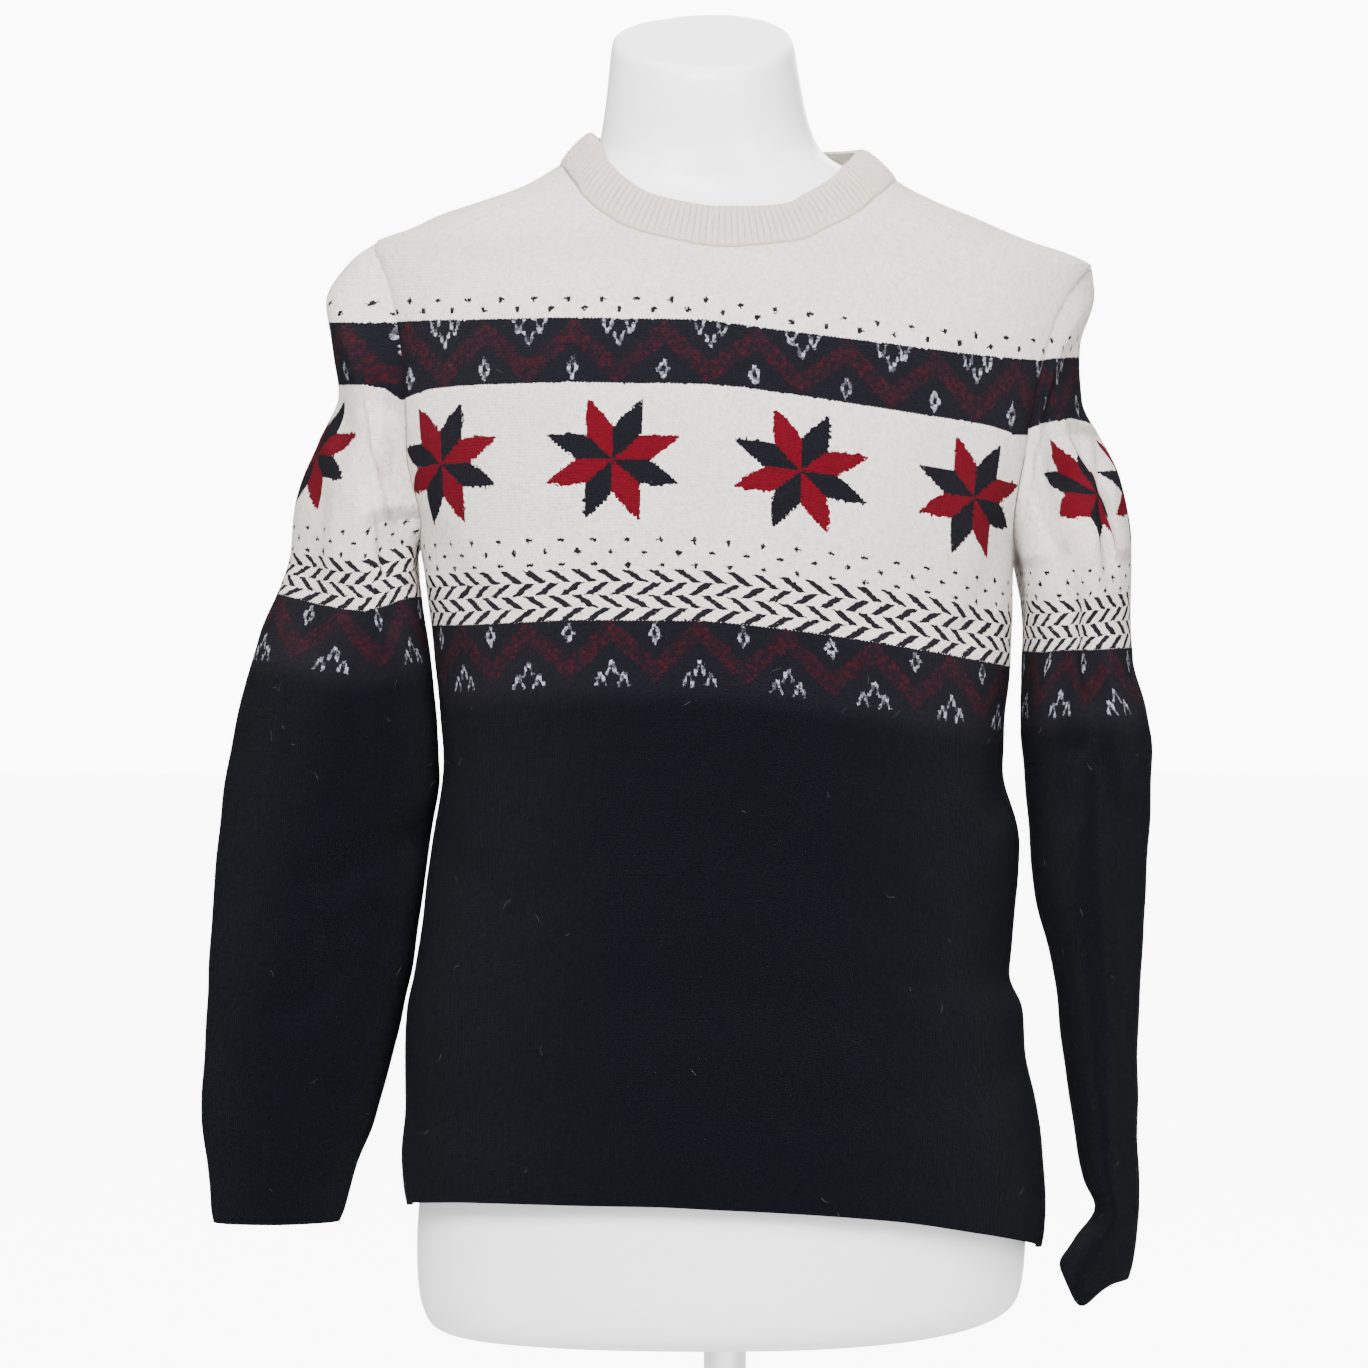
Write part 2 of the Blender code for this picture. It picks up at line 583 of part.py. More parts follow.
def build_sleeves(collection, navy, loops):
    """The wearer's right sleeve hangs at the viewer's left."""
    for name, side, measures in (
        ("sleeve_right", "left", LEFT_SLEEVE),
        ("sleeve_left", "right", RIGHT_SLEEVE),
    ):
        points, normals = sleeve(measures, *loops[side])
        wall_object(name, points, points - normals * CLOTH_WALL, True, navy, collection)


def build_neckband(collection, cream, loops):
    outer, inner = neckband(*loops["neck"])
    wall_object("neckband", outer, inner, True, cream, collection)


def build_torso(collection, white):
    rings = torso_rings()
    rows, columns = rings.shape[:2]
    faces = grid_faces(rows, columns, 0, True, False)
    faces.append(tuple(range(columns))[::-1])
    faces.append(tuple(range((rows - 1) * columns, rows * columns)))
    add_mesh_object("display_torso", rings.reshape(-1, 3), faces, white, collection, CLOTH_SHIFT)


def build_stand(collection, chrome):
    """A plain pole from the base to the underside of the torso, on a round steel base."""
    pole_length = TORSO_UNDERSIDE - BASE_THICKNESS - 2 * SEAM_GAP
    for name, radius, length, low, bevel in (
        ("stand_pole", POLE_RADIUS, pole_length, BASE_THICKNESS + SEAM_GAP, 0.0),
        ("stand_base", BASE_RADIUS, BASE_THICKNESS, 0.0, BASE_BEVEL),
    ):
        bpy.ops.mesh.primitive_cylinder_add(
            vertices=48, radius=radius, depth=length, location=(0, 0, low + length / 2)
        )
        turned = bpy.context.object
        turned.name = name
        turned.data.name = name
        turned.data.materials.append(chrome)
        if bevel:
            edge = turned.modifiers.new("rim", "BEVEL")
            edge.width = bevel
            edge.segments = 2
            edge.limit_method = "ANGLE"
        turned.data.shade_smooth()
        turned.data.set_sharp_from_angle(angle=math.radians(40))
        for owner in list(turned.users_collection):
            owner.objects.unlink(turned)
        collection.objects.link(turned)


def main():
    clear_scene()
    collection = bpy.data.collections.new("christmas_sweater_on_display_torso")
    bpy.context.scene.collection.children.link(collection)
    navy = principled("navy_wool", (0.012, 0.014, 0.026), 0.95)
    cream = principled("cream_rib", (0.80, 0.77, 0.70), 0.95)
    white = principled("white_torso", (0.85, 0.85, 0.87), 0.45)
    chrome = principled("polished_steel", (0.75, 0.75, 0.77), 0.2, 1.0)
    loops = build_body(collection, navy)
    build_sleeves(collection, navy, loops)
    build_neckband(collection, cream, loops)
    build_torso(collection, white)
    build_stand(collection, chrome)


main()
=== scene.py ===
"""A christmas sweater of felted wool on a limbless dress form: the finish, the knit and the drape.

Metres, +Z up, the front faces -Y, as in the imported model. The cloth's own left and right are the
viewer's, seen from the front. The knitted pattern is charted by formulas, in stitches and rows.
"""

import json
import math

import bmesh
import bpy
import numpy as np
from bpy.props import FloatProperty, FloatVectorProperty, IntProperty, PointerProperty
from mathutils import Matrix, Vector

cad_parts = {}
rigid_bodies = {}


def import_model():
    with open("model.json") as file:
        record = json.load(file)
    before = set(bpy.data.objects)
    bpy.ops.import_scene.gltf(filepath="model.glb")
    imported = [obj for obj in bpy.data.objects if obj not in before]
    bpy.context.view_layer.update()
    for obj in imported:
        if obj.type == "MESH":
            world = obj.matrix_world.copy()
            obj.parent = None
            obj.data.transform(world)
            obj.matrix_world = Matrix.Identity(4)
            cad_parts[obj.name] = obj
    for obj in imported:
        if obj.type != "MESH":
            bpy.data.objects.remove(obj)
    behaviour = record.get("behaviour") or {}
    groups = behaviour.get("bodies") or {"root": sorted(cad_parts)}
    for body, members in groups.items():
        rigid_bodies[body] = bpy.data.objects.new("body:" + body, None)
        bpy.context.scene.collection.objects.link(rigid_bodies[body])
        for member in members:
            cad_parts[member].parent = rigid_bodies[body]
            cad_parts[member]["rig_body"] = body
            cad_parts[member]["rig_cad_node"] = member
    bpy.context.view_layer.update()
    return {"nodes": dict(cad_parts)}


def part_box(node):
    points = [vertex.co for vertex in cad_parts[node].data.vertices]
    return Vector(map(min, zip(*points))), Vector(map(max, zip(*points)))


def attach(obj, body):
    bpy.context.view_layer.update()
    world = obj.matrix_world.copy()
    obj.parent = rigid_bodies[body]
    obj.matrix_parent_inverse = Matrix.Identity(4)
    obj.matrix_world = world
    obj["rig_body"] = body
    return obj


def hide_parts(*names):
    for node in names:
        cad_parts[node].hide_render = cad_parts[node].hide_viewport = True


bl_info = {
    "name": "Christmas Sweater on a Dress Form",
    "version": (1, 0, 0),
    "blender": (4, 5, 0),
    "location": "3D View > Sidebar > Sweater",
    "description": "Builds a knitted christmas sweater, its dress form and a plain studio",
    "category": "Object",
}

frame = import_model()
BODY_NAME = "root"

# Cloth
CLOTH_WALL = 0.0026
BAND_WALL = 0.0032
SEAM_GAP = 0.0003
PANEL_SEAM_SHARE = 0.6
SLEEVE_SEAM_SHARE = 1.5
BAND_GAP = 0.0006
CLOTH_SHIFT = -0.003
SEAM_GROOVE = 0.0011
SEAM_GROOVE_WIDTH = 0.0035
HEM_ROLL = 0.0009
HEM_ROLL_WIDTH = 0.0045
KNIT_UNEVENNESS = 0.00035
FOLD_FACING = 1.6

# Fibres and lint
FIBRE_LIFT = 0.75
LINT_LENGTH = 0.009
LINT_WIDTH = 0.00016
LINT_LIFT = 0.12
LINT_SEED = 50
SLEEVE_FIBRE_SHARE = 0.75
NECKBAND_FIBRE_SHARE = 0.2

# Neckband ribs
RIB_COUNT = 150
POINTS_OF_RIB = 8
RIB_RISE = 0.0006
BAND_BULGE = 0.0012

# Armholes, as half ellipses cut into the front and the back
ARMHOLE_DEPTH_FRONT = 0.060
ARMHOLE_DEPTH_BACK = 0.062
ARMHOLE_SQUARENESS = 2.2
LEFT_UNDERARM = 0.724
RIGHT_UNDERARM = 0.722
LEFT_SHOULDER_TIP = 0.9105
RIGHT_SHOULDER_TIP = 0.8945
YOKE_DIP = 0.036

# How much less the left front armhole is cut in, and where, by share of its height
LEFT_ARMHOLE_EASE = 0.26
EASE_PLACE = 0.24
EASE_REACH = 0.17

# How a sleeve leaves its armhole: share of its length, and metres along it
ARMHOLE_FADE = 0.26
SEAM_SETTLE = 0.012

# Mesh density
ROWS_BELOW_ARMHOLE = 110
ROWS_OF_ARMHOLE = 54
ROWS_OF_SHOULDER = 34
COLUMNS_OF_PANEL = 150
RINGS_OF_SLEEVE = 190
ROWS_OF_BAND = 9
RING_SAMPLES = 97
SIDE_CROWDING = 0.4
RING_CROWDING = 1.1

# Knit gauge in metres, and on the sleeves a share of it and the stitch at their outer edge
STITCH_WIDTH = 0.0022
ROW_HEIGHT = 0.0018
LEFT_SLEEVE_GAUGE = 0.85
LEFT_SLEEVE_SHIFT = -36.0
RIGHT_SLEEVE_GAUGE = -1.15
RIGHT_SLEEVE_SHIFT = -2.1

# Metres down a sleeve from which its stitches run straight
REGULAR_FROM = 0.2

# Cloth of the right sleeve that a fold beside its star hides, in stitches
TUCK_STITCH = -26.7
TUCKED_STITCHES = 26

# The camera, level and square to the front
CAMERA_PLACE = (-0.0251, -2.8, 0.639)
CAMERA_LENS = 120.0
SENSOR_WIDTH = 36.0
FLOOR_SIZE = 60
LAMP_AIM_HEIGHT = 0.65


def table(columns, *rows):
    """Measures by name: the first column says where along the piece each row lies."""
    names = columns.split()
    values = np.array(rows, dtype=float)
    return {name: values[:, place] for place, name in enumerate(names)}


# The cloth round the body: half widths and depths from the axis at each height
BODY = table(
    "height left right front back squareness",
    (0.285, 0.191, 0.1975, 0.117, 0.112, 2.35),
    (0.320, 0.193, 0.1995, 0.118, 0.112, 2.35),
    (0.351, 0.195, 0.198, 0.117, 0.111, 2.35),
    (0.382, 0.193, 0.194, 0.115, 0.109, 2.35),
    (0.414, 0.193, 0.187, 0.113, 0.107, 2.35),
    (0.440, 0.192, 0.1855, 0.111, 0.105, 2.35),
    (0.462, 0.1875, 0.1778, 0.109, 0.103, 2.35),
    (0.500, 0.182, 0.181, 0.107, 0.101, 2.35),
    (0.540, 0.177, 0.184, 0.106, 0.100, 2.35),
    (0.590, 0.170, 0.1735, 0.107, 0.100, 2.35),
    (0.654, 0.175, 0.178, 0.111, 0.104, 2.40),
    (0.724, 0.184, 0.181, 0.115, 0.108, 2.45),
    (0.780, 0.201, 0.199, 0.113, 0.109, 2.45),
    (0.830, 0.211, 0.213, 0.107, 0.105, 2.40),
    (0.870, 0.217, 0.223, 0.096, 0.098, 2.35),
    (0.893, 0.219, 0.2285, 0.087, 0.090, 2.30),
    (0.901, 0.218, 0.2160, 0.084, 0.087, 2.30),
    (0.909, 0.2120, 0.1925, 0.080, 0.083, 2.30),
    (0.917, 0.1918, 0.1730, 0.077, 0.080, 2.27),
    (0.925, 0.1740, 0.1542, 0.074, 0.077, 2.25),
    (0.933, 0.1518, 0.1342, 0.072, 0.074, 2.22),
    (0.941, 0.1275, 0.1180, 0.070, 0.070, 2.20),
    (0.949, 0.1102, 0.1055, 0.068, 0.067, 2.17),
    (0.957, 0.0985, 0.0950, 0.066, 0.064, 2.15),
    (0.975, 0.0800, 0.0790, 0.061, 0.058, 2.10),
)

# The cut edges across a panel, from its left edge at 0 to its right edge at 1
EDGES = table(
    "across hem_front hem_back neck_front neck_back",
    (0.00, 0.319, 0.319, 0.9570, 0.957),
    (0.10, 0.326, 0.318, 0.9535, 0.956),
    (0.20, 0.330, 0.316, 0.9438, 0.953),
    (0.30, 0.331, 0.314, 0.9303, 0.951),
    (0.40, 0.331, 0.312, 0.9115, 0.949),
    (0.50, 0.329, 0.309, 0.8994, 0.948),
    (0.60, 0.326, 0.306, 0.9035, 0.948),
    (0.70, 0.321, 0.303, 0.9180, 0.948),
    (0.80, 0.312, 0.299, 0.9332, 0.948),
    (0.90, 0.302, 0.296, 0.9435, 0.948),
    (1.00, 0.293, 0.293, 0.9470, 0.947),
)

# A sleeve's rings down its outer edge: both edges as seen from the front, its depth, how far
# a ring is turned in degrees, and how far its front hangs down
LEFT_SLEEVE = table(
    "way outer_x outer_z inner_x inner_z front back lean droop",
    (0.000, -0.2102, 0.9105, -0.1840, 0.724, 0.058, 0.062, 0, 0),
    (0.020, -0.2252, 0.9000, -0.1865, 0.716, 0.060, 0.064, 0, 0),
    (0.048, -0.2408, 0.8750, -0.1870, 0.709, 0.063, 0.066, 0, 0),
    (0.078, -0.2368, 0.8470, -0.1855, 0.701, 0.065, 0.067, 0, 0),
    (0.107, -0.2335, 0.8180, -0.1838, 0.692, 0.066, 0.067, 0, 0),
    (0.139, -0.2470, 0.7880, -0.1812, 0.680, 0.066, 0.066, 4, 0),
    (0.179, -0.2615, 0.7500, -0.1780, 0.662, 0.064, 0.063, 8, 0),
    (0.211, -0.2648, 0.7180, -0.1757, 0.644, 0.061, 0.060, 10, 0),
    (0.265, -0.2840, 0.6680, -0.1732, 0.616, 0.054, 0.052, 10, 0),
    (0.329, -0.3000, 0.6060, -0.1714, 0.584, 0.045, 0.043, 8, 0),
    (0.386, -0.3080, 0.5500, -0.1783, 0.540, 0.038, 0.037, 4, 0),
    (0.456, -0.3130, 0.4800, -0.1875, 0.472, 0.033, 0.033, 0, 0),
    (0.522, -0.3160, 0.4140, -0.2015, 0.410, 0.028, 0.029, -4, 0),
    (0.562, -0.3185, 0.3740, -0.2120, 0.371, 0.025, 0.027, -6, 0),
    (0.592, -0.3145, 0.3450, -0.2230, 0.343, 0.023, 0.025, -6, 0),
    (0.628, -0.3115, 0.3090, -0.2325, 0.309, 0.022, 0.024, -6, 0),
)
RIGHT_SLEEVE = table(
    "way outer_x outer_z inner_x inner_z front back lean droop",
    (0.000, 0.2275, 0.8945, 0.1810, 0.7220, 0.058, 0.062, 0, 0),
    (0.018, 0.2290, 0.8770, 0.1840, 0.7140, 0.059, 0.063, 0, 0),
    (0.050, 0.2205, 0.8460, 0.1860, 0.7040, 0.060, 0.064, 0, 0),
    (0.082, 0.2215, 0.8140, 0.1870, 0.6900, 0.061, 0.064, 0, 0),
    (0.112, 0.2345, 0.7880, 0.1865, 0.6780, 0.061, 0.063, 0, 0),
    (0.142, 0.2455, 0.7640, 0.1860, 0.6650, 0.060, 0.062, 0, 0),
    (0.178, 0.2520, 0.7280, 0.1850, 0.6450, 0.059, 0.060, 0, 0),
    (0.226, 0.2518, 0.6800, 0.1845, 0.6220, 0.058, 0.058, 0, 0),
    (0.252, 0.2530, 0.6540, 0.1850, 0.6060, 0.057, 0.057, 0, 0),
    (0.285, 0.2620, 0.6220, 0.1868, 0.5880, 0.056, 0.056, 0, 0),
    (0.312, 0.2650, 0.5950, 0.1880, 0.5700, 0.056, 0.055, 0, 0),
    (0.388, 0.2620, 0.5200, 0.1925, 0.5120, 0.054, 0.054, 4, 0),
    (0.438, 0.2595, 0.4700, 0.2040, 0.4660, 0.052, 0.053, 6, 0),
    (0.498, 0.2572, 0.4100, 0.2110, 0.4080, 0.049, 0.050, 8, 0),
    (0.548, 0.2572, 0.3600, 0.2180, 0.3600, 0.045, 0.046, 12, 0),
    (0.574, 0.2586, 0.3340, 0.2225, 0.3350, 0.043, 0.044, 18, 0.000),
    (0.590, 0.2590, 0.3180, 0.2290, 0.3190, 0.042, 0.043, 22, 0.000),
    (0.612, 0.2576, 0.2970, 0.2145, 0.2980, 0.042, 0.041, 31, 0.004),
    (0.626, 0.2562, 0.2830, 0.2062, 0.2860, 0.042, 0.040, 36, 0.009),
    (0.638, 0.2545, 0.2715, 0.2075, 0.2780, 0.042, 0.038, 40, 0.0140),
)
DROOP_TURN = 122
DROOP_WIDTH = 34

# The neckband round the neck, by compass angle from the front towards the viewer's right
NECKBAND = table(
    "angle rise inward",
    (0, 0.0260, 0.0130),
    (90, 0.0200, 0.0215),
    (180, 0.0255, 0.0090),
    (270, 0.0205, 0.0190),
    (360, 0.0260, 0.0130),
)

# The largest soft folds, as troughs along lines seen from the front: face is -1 front, 1 back
FOLDS = table(
    "face start_x start_z end_x end_z depth width",
    (-1, 0.147, 0.537, 0.178, 0.470, 0.0035, 0.020),
    (-1, -0.043, 0.454, 0.086, 0.445, 0.0030, 0.022),
    (-1, -0.185, 0.544, -0.240, 0.519, 0.0060, 0.013),
    (-1, -0.228, 0.468, -0.262, 0.442, 0.0050, 0.013),
    (-1, -0.249, 0.764, -0.252, 0.666, 0.0055, 0.013),
    (-1, 0.212, 0.764, 0.220, 0.605, 0.0080, 0.011),
    (-1, 0.246, 0.560, 0.248, 0.345, 0.0035, 0.010),
    (1, -0.120, 0.560, -0.020, 0.520, 0.0035, 0.022),
    (1, 0.060, 0.470, 0.150, 0.440, 0.0030, 0.022),
    (1, -0.190, 0.550, -0.245, 0.530, 0.0060, 0.013),
    (1, -0.235, 0.458, -0.270, 0.430, 0.0050, 0.013),
    (1, 0.214, 0.740, 0.224, 0.600, 0.0070, 0.011),
)

# Finer creases, in the same columns as the folds
CREASES = table(
    "face start_x start_z end_x end_z depth width",
    (-1, -0.2110, 0.812, -0.2060, 0.760, 0.0075, 0.0060),
    (-1, -0.2060, 0.760, -0.1990, 0.712, 0.0065, 0.0070),
    (-1, -0.1985, 0.806, -0.1880, 0.738, 0.0040, 0.0060),
    (-1, -0.2270, 0.818, -0.2310, 0.772, 0.0022, 0.0065),
    (-1, -0.2430, 0.812, -0.2480, 0.785, 0.0016, 0.0060),
    (-1, -0.2460, 0.752, -0.2570, 0.712, 0.0026, 0.0080),
    (-1, -0.2260, 0.740, -0.2300, 0.688, 0.0022, 0.0080),
    (-1, -0.1960, 0.722, -0.1960, 0.676, 0.0030, 0.0060),
    (-1, -0.2950, 0.629, -0.2980, 0.506, 0.0020, 0.0120),
    (-1, -0.2150, 0.629, -0.2400, 0.445, 0.0030, 0.0140),
    (-1, -0.2100, 0.500, -0.2350, 0.486, 0.0030, 0.0080),
    (-1, -0.2886, 0.414, -0.2395, 0.392, 0.0022, 0.0090),
    (-1, -0.3000, 0.352, -0.2500, 0.338, 0.0014, 0.0070),
    (-1, 0.1980, 0.797, 0.2085, 0.716, 0.0045, 0.0070),
    (-1, 0.2312, 0.789, 0.2365, 0.712, 0.0050, 0.0042),
    (-1, 0.2085, 0.716, 0.2250, 0.629, 0.0060, 0.0065),
    (-1, 0.2160, 0.799, 0.2270, 0.742, 0.0024, 0.0055),
    (-1, 0.2060, 0.801, 0.2110, 0.762, 0.0016, 0.0050),
    (-1, 0.2395, 0.742, 0.2335, 0.664, 0.0030, 0.0080),
    (-1, 0.2040, 0.660, 0.2100, 0.560, 0.0028, 0.0080),
    (-1, 0.2333, 0.592, 0.2440, 0.445, 0.0030, 0.0080),
    (-1, 0.2230, 0.520, 0.2330, 0.400, 0.0022, 0.0070),
    (-1, 0.2499, 0.334, 0.2462, 0.293, 0.0030, 0.0055),
    (-1, 0.2310, 0.330, 0.2270, 0.300, 0.0022, 0.0055),
    (-1, -0.1800, 0.728, -0.1500, 0.688, 0.0032, 0.0110),
    (-1, -0.1780, 0.690, -0.1560, 0.640, 0.0020, 0.0110),
    (-1, 0.1740, 0.722, 0.1450, 0.664, 0.0032, 0.0110),
    (-1, 0.1770, 0.640, 0.1700, 0.566, 0.0040, 0.0100),
    (-1, -0.1719, 0.537, -0.1228, 0.506, 0.0022, 0.0150),
    (-1, -0.1780, 0.384, -0.0740, 0.371, 0.0016, 0.0180),
    (-1, 0.0490, 0.384, 0.1600, 0.396, 0.0022, 0.0160),
    (-1, 0.0100, 0.545, 0.1100, 0.500, 0.0016, 0.0200),
    (-1, -0.1000, 0.610, -0.0200, 0.560, 0.0012, 0.0220),
    (-1, -0.0600, 0.345, 0.0400, 0.334, 0.0010, 0.0120),
    (1, -0.2075, 0.812, -0.2050, 0.760, 0.0040, 0.0060),
    (1, -0.2280, 0.806, -0.2350, 0.764, 0.0022, 0.0070),
    (1, -0.1950, 0.740, -0.2040, 0.690, 0.0030, 0.0070),
    (1, -0.2600, 0.650, -0.2700, 0.560, 0.0024, 0.0110),
    (1, -0.2200, 0.600, -0.2420, 0.450, 0.0028, 0.0130),
    (1, -0.2900, 0.420, -0.2450, 0.398, 0.0022, 0.0090),
    (1, -0.2980, 0.350, -0.2500, 0.342, 0.0014, 0.0070),
    (1, 0.2000, 0.800, 0.2080, 0.730, 0.0034, 0.0070),
    (1, 0.2190, 0.790, 0.2290, 0.740, 0.0022, 0.0060),
    (1, 0.2350, 0.700, 0.2300, 0.640, 0.0028, 0.0080),
    (1, 0.2060, 0.640, 0.2150, 0.540, 0.0028, 0.0080),
    (1, 0.2330, 0.560, 0.2420, 0.440, 0.0028, 0.0080),
    (1, 0.2460, 0.340, 0.2420, 0.300, 0.0024, 0.0060),
    (1, -0.1750, 0.740, -0.1400, 0.700, 0.0030, 0.0120),
    (1, 0.1700, 0.738, 0.1300, 0.690, 0.0030, 0.0120),
    (1, -0.1550, 0.840, -0.1350, 0.780, 0.0018, 0.0130),
    (1, 0.1550, 0.832, 0.1400, 0.775, 0.0018, 0.0130),
    (1, -0.1650, 0.600, -0.0800, 0.585, 0.0026, 0.0140),
    (1, 0.0500, 0.600, 0.1550, 0.575, 0.0030, 0.0150),
    (1, -0.0400, 0.640, 0.0600, 0.625, 0.0018, 0.0180),
    (1, -0.1100, 0.440, 0.0100, 0.425, 0.0020, 0.0180),
    (1, 0.0300, 0.370, 0.1500, 0.385, 0.0018, 0.0160),
)

# Where the charts' edges lie as seen from the front: the top band's and the herringbone's.
# Below the herringbone the rows keep an even height.
FRONT_LINES = table(
    "seen_x band_top band_foot herring_top herring_foot",
    (-0.1965, 0.8614, 0.8128, 0.7048, 0.6741),
    (-0.1780, 0.8620, 0.8196, 0.7060, 0.6748),
    (-0.1535, 0.8626, 0.8221, 0.7072, 0.6753),
    (-0.0921, 0.8638, 0.8239, 0.7097, 0.6784),
    (-0.0098, 0.8626, 0.8227, 0.7091, 0.6778),
    (0.0123, 0.8595, 0.8208, 0.7072, 0.6759),
    (0.0491, 0.8546, 0.8159, 0.7036, 0.6716),
    (0.0982, 0.8485, 0.8079, 0.6974, 0.6643),
    (0.1412, 0.8429, 0.8012, 0.6900, 0.6569),
    (0.1640, 0.8403, 0.7975, 0.6855, 0.6525),
    (0.1817, 0.8389, 0.7914, 0.6833, 0.6489),
    (0.1965, 0.8374, 0.7907, 0.6808, 0.6452),
)
BACK_LINES = table(
    "seen_x band_top band_foot herring_top herring_foot",
    (-0.1965, 0.8614, 0.8150, 0.7048, 0.6741),
    (-0.1200, 0.8630, 0.8235, 0.7065, 0.6755),
    (0.0000, 0.8600, 0.8205, 0.7040, 0.6725),
    (0.1200, 0.8480, 0.8085, 0.6930, 0.6600),
    (0.1965, 0.8374, 0.7920, 0.6808, 0.6452),
)
LEFT_SLEEVE_LINES = table(
    "seen_x band_top band_foot herring_top herring_foot",
    (-0.2702, 0.8607, 0.8221, 0.7201, 0.6943),
    (-0.2444, 0.8607, 0.8221, 0.7177, 0.6876),
    (-0.2303, 0.8607, 0.8221, 0.7152, 0.6851),
    (-0.2180, 0.8607, 0.8221, 0.7152, 0.6839),
    (-0.2057, 0.8607, 0.8196, 0.7207, 0.6870),
    (-0.1965, 0.8607, 0.8128, 0.7238, 0.6907),
    (-0.1891, 0.8607, 0.8128, 0.7244, 0.6925),
)
RIGHT_SLEEVE_LINES = table(
    "seen_x band_top band_foot herring_top herring_foot",
    (0.1817, 0.8386, 0.7914, 0.6907, 0.6593),
    (0.1977, 0.8380, 0.7984, 0.6900, 0.6587),
    (0.2149, 0.8392, 0.8018, 0.6907, 0.6600),
    (0.2272, 0.8399, 0.7987, 0.6919, 0.6600),
    (0.2499, 0.8399, 0.7987, 0.6956, 0.6612),
    (0.2640, 0.8399, 0.7987, 0.6968, 0.6624),
)

# The knit chart, in rows down from the top band's upper edge
ROW_BAND_FOOT = 21.0
ROW_HERRING_TOP = 82.0
ROW_HERRING_FOOT = 98.8
SEEN_ROW_HEIGHT = 0.00187


def read(measures, column, places):
    """One column of a table on a smooth curve that never passes beyond its rows' values."""
    along = next(iter(measures.values()))
    values = measures[column]
    places = np.clip(np.asarray(places, dtype=float), along[0], along[-1])
    steps = np.diff(along)
    rises = np.diff(values) / steps
    slopes = np.concatenate(([rises[0]], np.zeros(len(rises) - 1), [rises[-1]]))
    before, after = rises[:-1], rises[1:]
    same_way = before * after > 0
    slopes[1:-1][same_way] = (2 * before * after / np.where(same_way, before + after, 1))[same_way]
    row = np.clip(np.searchsorted(along, places, side="right") - 1, 0, len(steps) - 1)
    step = steps[row]
    part = (places - along[row]) / step
    return (
        values[row] * (1 + 2 * part) * (1 - part) ** 2
        + slopes[row] * step * part * (1 - part) ** 2
        + values[row + 1] * part**2 * (3 - 2 * part)
        + slopes[row + 1] * step * part**2 * (part - 1)
    )


def half_oval(left, right, depth, squareness, across):
    """Points on half an oval at even shares of its length, from its left end to its right end."""
    angles = np.linspace(0, math.pi, RING_SAMPLES)
    power = (2 / np.asarray(squareness))[..., None]
    reach = np.abs(np.cos(angles)) ** power
    x = np.where(angles < math.pi / 2, -left[..., None] * reach, right[..., None] * reach)
    y = depth[..., None] * np.sin(angles).clip(0) ** power
    lengths = np.hypot(np.diff(x, axis=-1), np.diff(y, axis=-1))
    run = np.concatenate((np.zeros(lengths.shape[:-1] + (1,)), np.cumsum(lengths, axis=-1)), axis=-1)
    target = np.clip(across, 0, 1) * run[..., -1]
    place = np.clip((run < target[..., None]).sum(axis=-1) - 1, 0, RING_SAMPLES - 2)[..., None]
    low = np.take_along_axis(run, place, -1)
    high = np.take_along_axis(run, place + 1, -1)
    part = ((target[..., None] - low) / (high - low))[..., 0]

    def between(values):
        first = np.take_along_axis(values, place, -1)[..., 0]
        second = np.take_along_axis(values, place + 1, -1)[..., 0]
        return first + (second - first) * part

    return between(x), between(y), run[..., -1]


def body_points(face, across, height):
    """Points of the sweater's outer face, by share across the front or back and by height."""
    across, height = np.broadcast_arrays(np.asarray(across, float), np.asarray(height, float))
    depth = read(BODY, "front" if face < 0 else "back", height)
    x, y, girth = half_oval(
        read(BODY, "left", height),
        read(BODY, "right", height),
        depth,
        read(BODY, "squareness", height),
        across,
    )
    return np.stack((x, face * y, height), axis=-1), girth


def unit(vectors):
    return vectors / np.linalg.norm(vectors, axis=-1, keepdims=True)


def body_normals(face, across, height):
    """Outward normals of that face."""
    aside = 0.002
    lift = 0.001
    right = body_points(face, np.clip(across + aside, 0, 1), height)[0]
    left = body_points(face, np.clip(across - aside, 0, 1), height)[0]
    above = body_points(face, across, height + lift)[0]
    below = body_points(face, across, height - lift)[0]
    return unit(np.cross(right - left, above - below)) * -face


def fold_depth(points, normals):
    """How far the soft folds press a point in, seen from the front or the back."""
    press = np.zeros(points.shape[:-1])
    for face, x0, z0, x1, z1, depth, width in [*zip(*FOLDS.values()), *zip(*CREASES.values())]:
        line = np.array((x1 - x0, z1 - z0))
        from_start = points[..., (0, 2)] - np.array((x0, z0))
        share = np.clip(from_start @ line / (line @ line), 0, 1)
        away = np.linalg.norm(from_start - share[..., None] * line, axis=-1)
        facing = np.clip(FOLD_FACING * face * normals[..., 1], 0, 1)
        press += facing * depth * np.exp(-((away / width) ** 2))
    return press


def armhole_inset(face, share):
    """How far in from the side line an armhole is cut, by its share of the armhole's height."""
    depth = ARMHOLE_DEPTH_FRONT if face < 0 else ARMHOLE_DEPTH_BACK
    reach = np.abs(2 * np.clip(share, 0, 1) - 1) ** ARMHOLE_SQUARENESS
    return depth * (1 - reach) ** (1 / ARMHOLE_SQUARENESS)


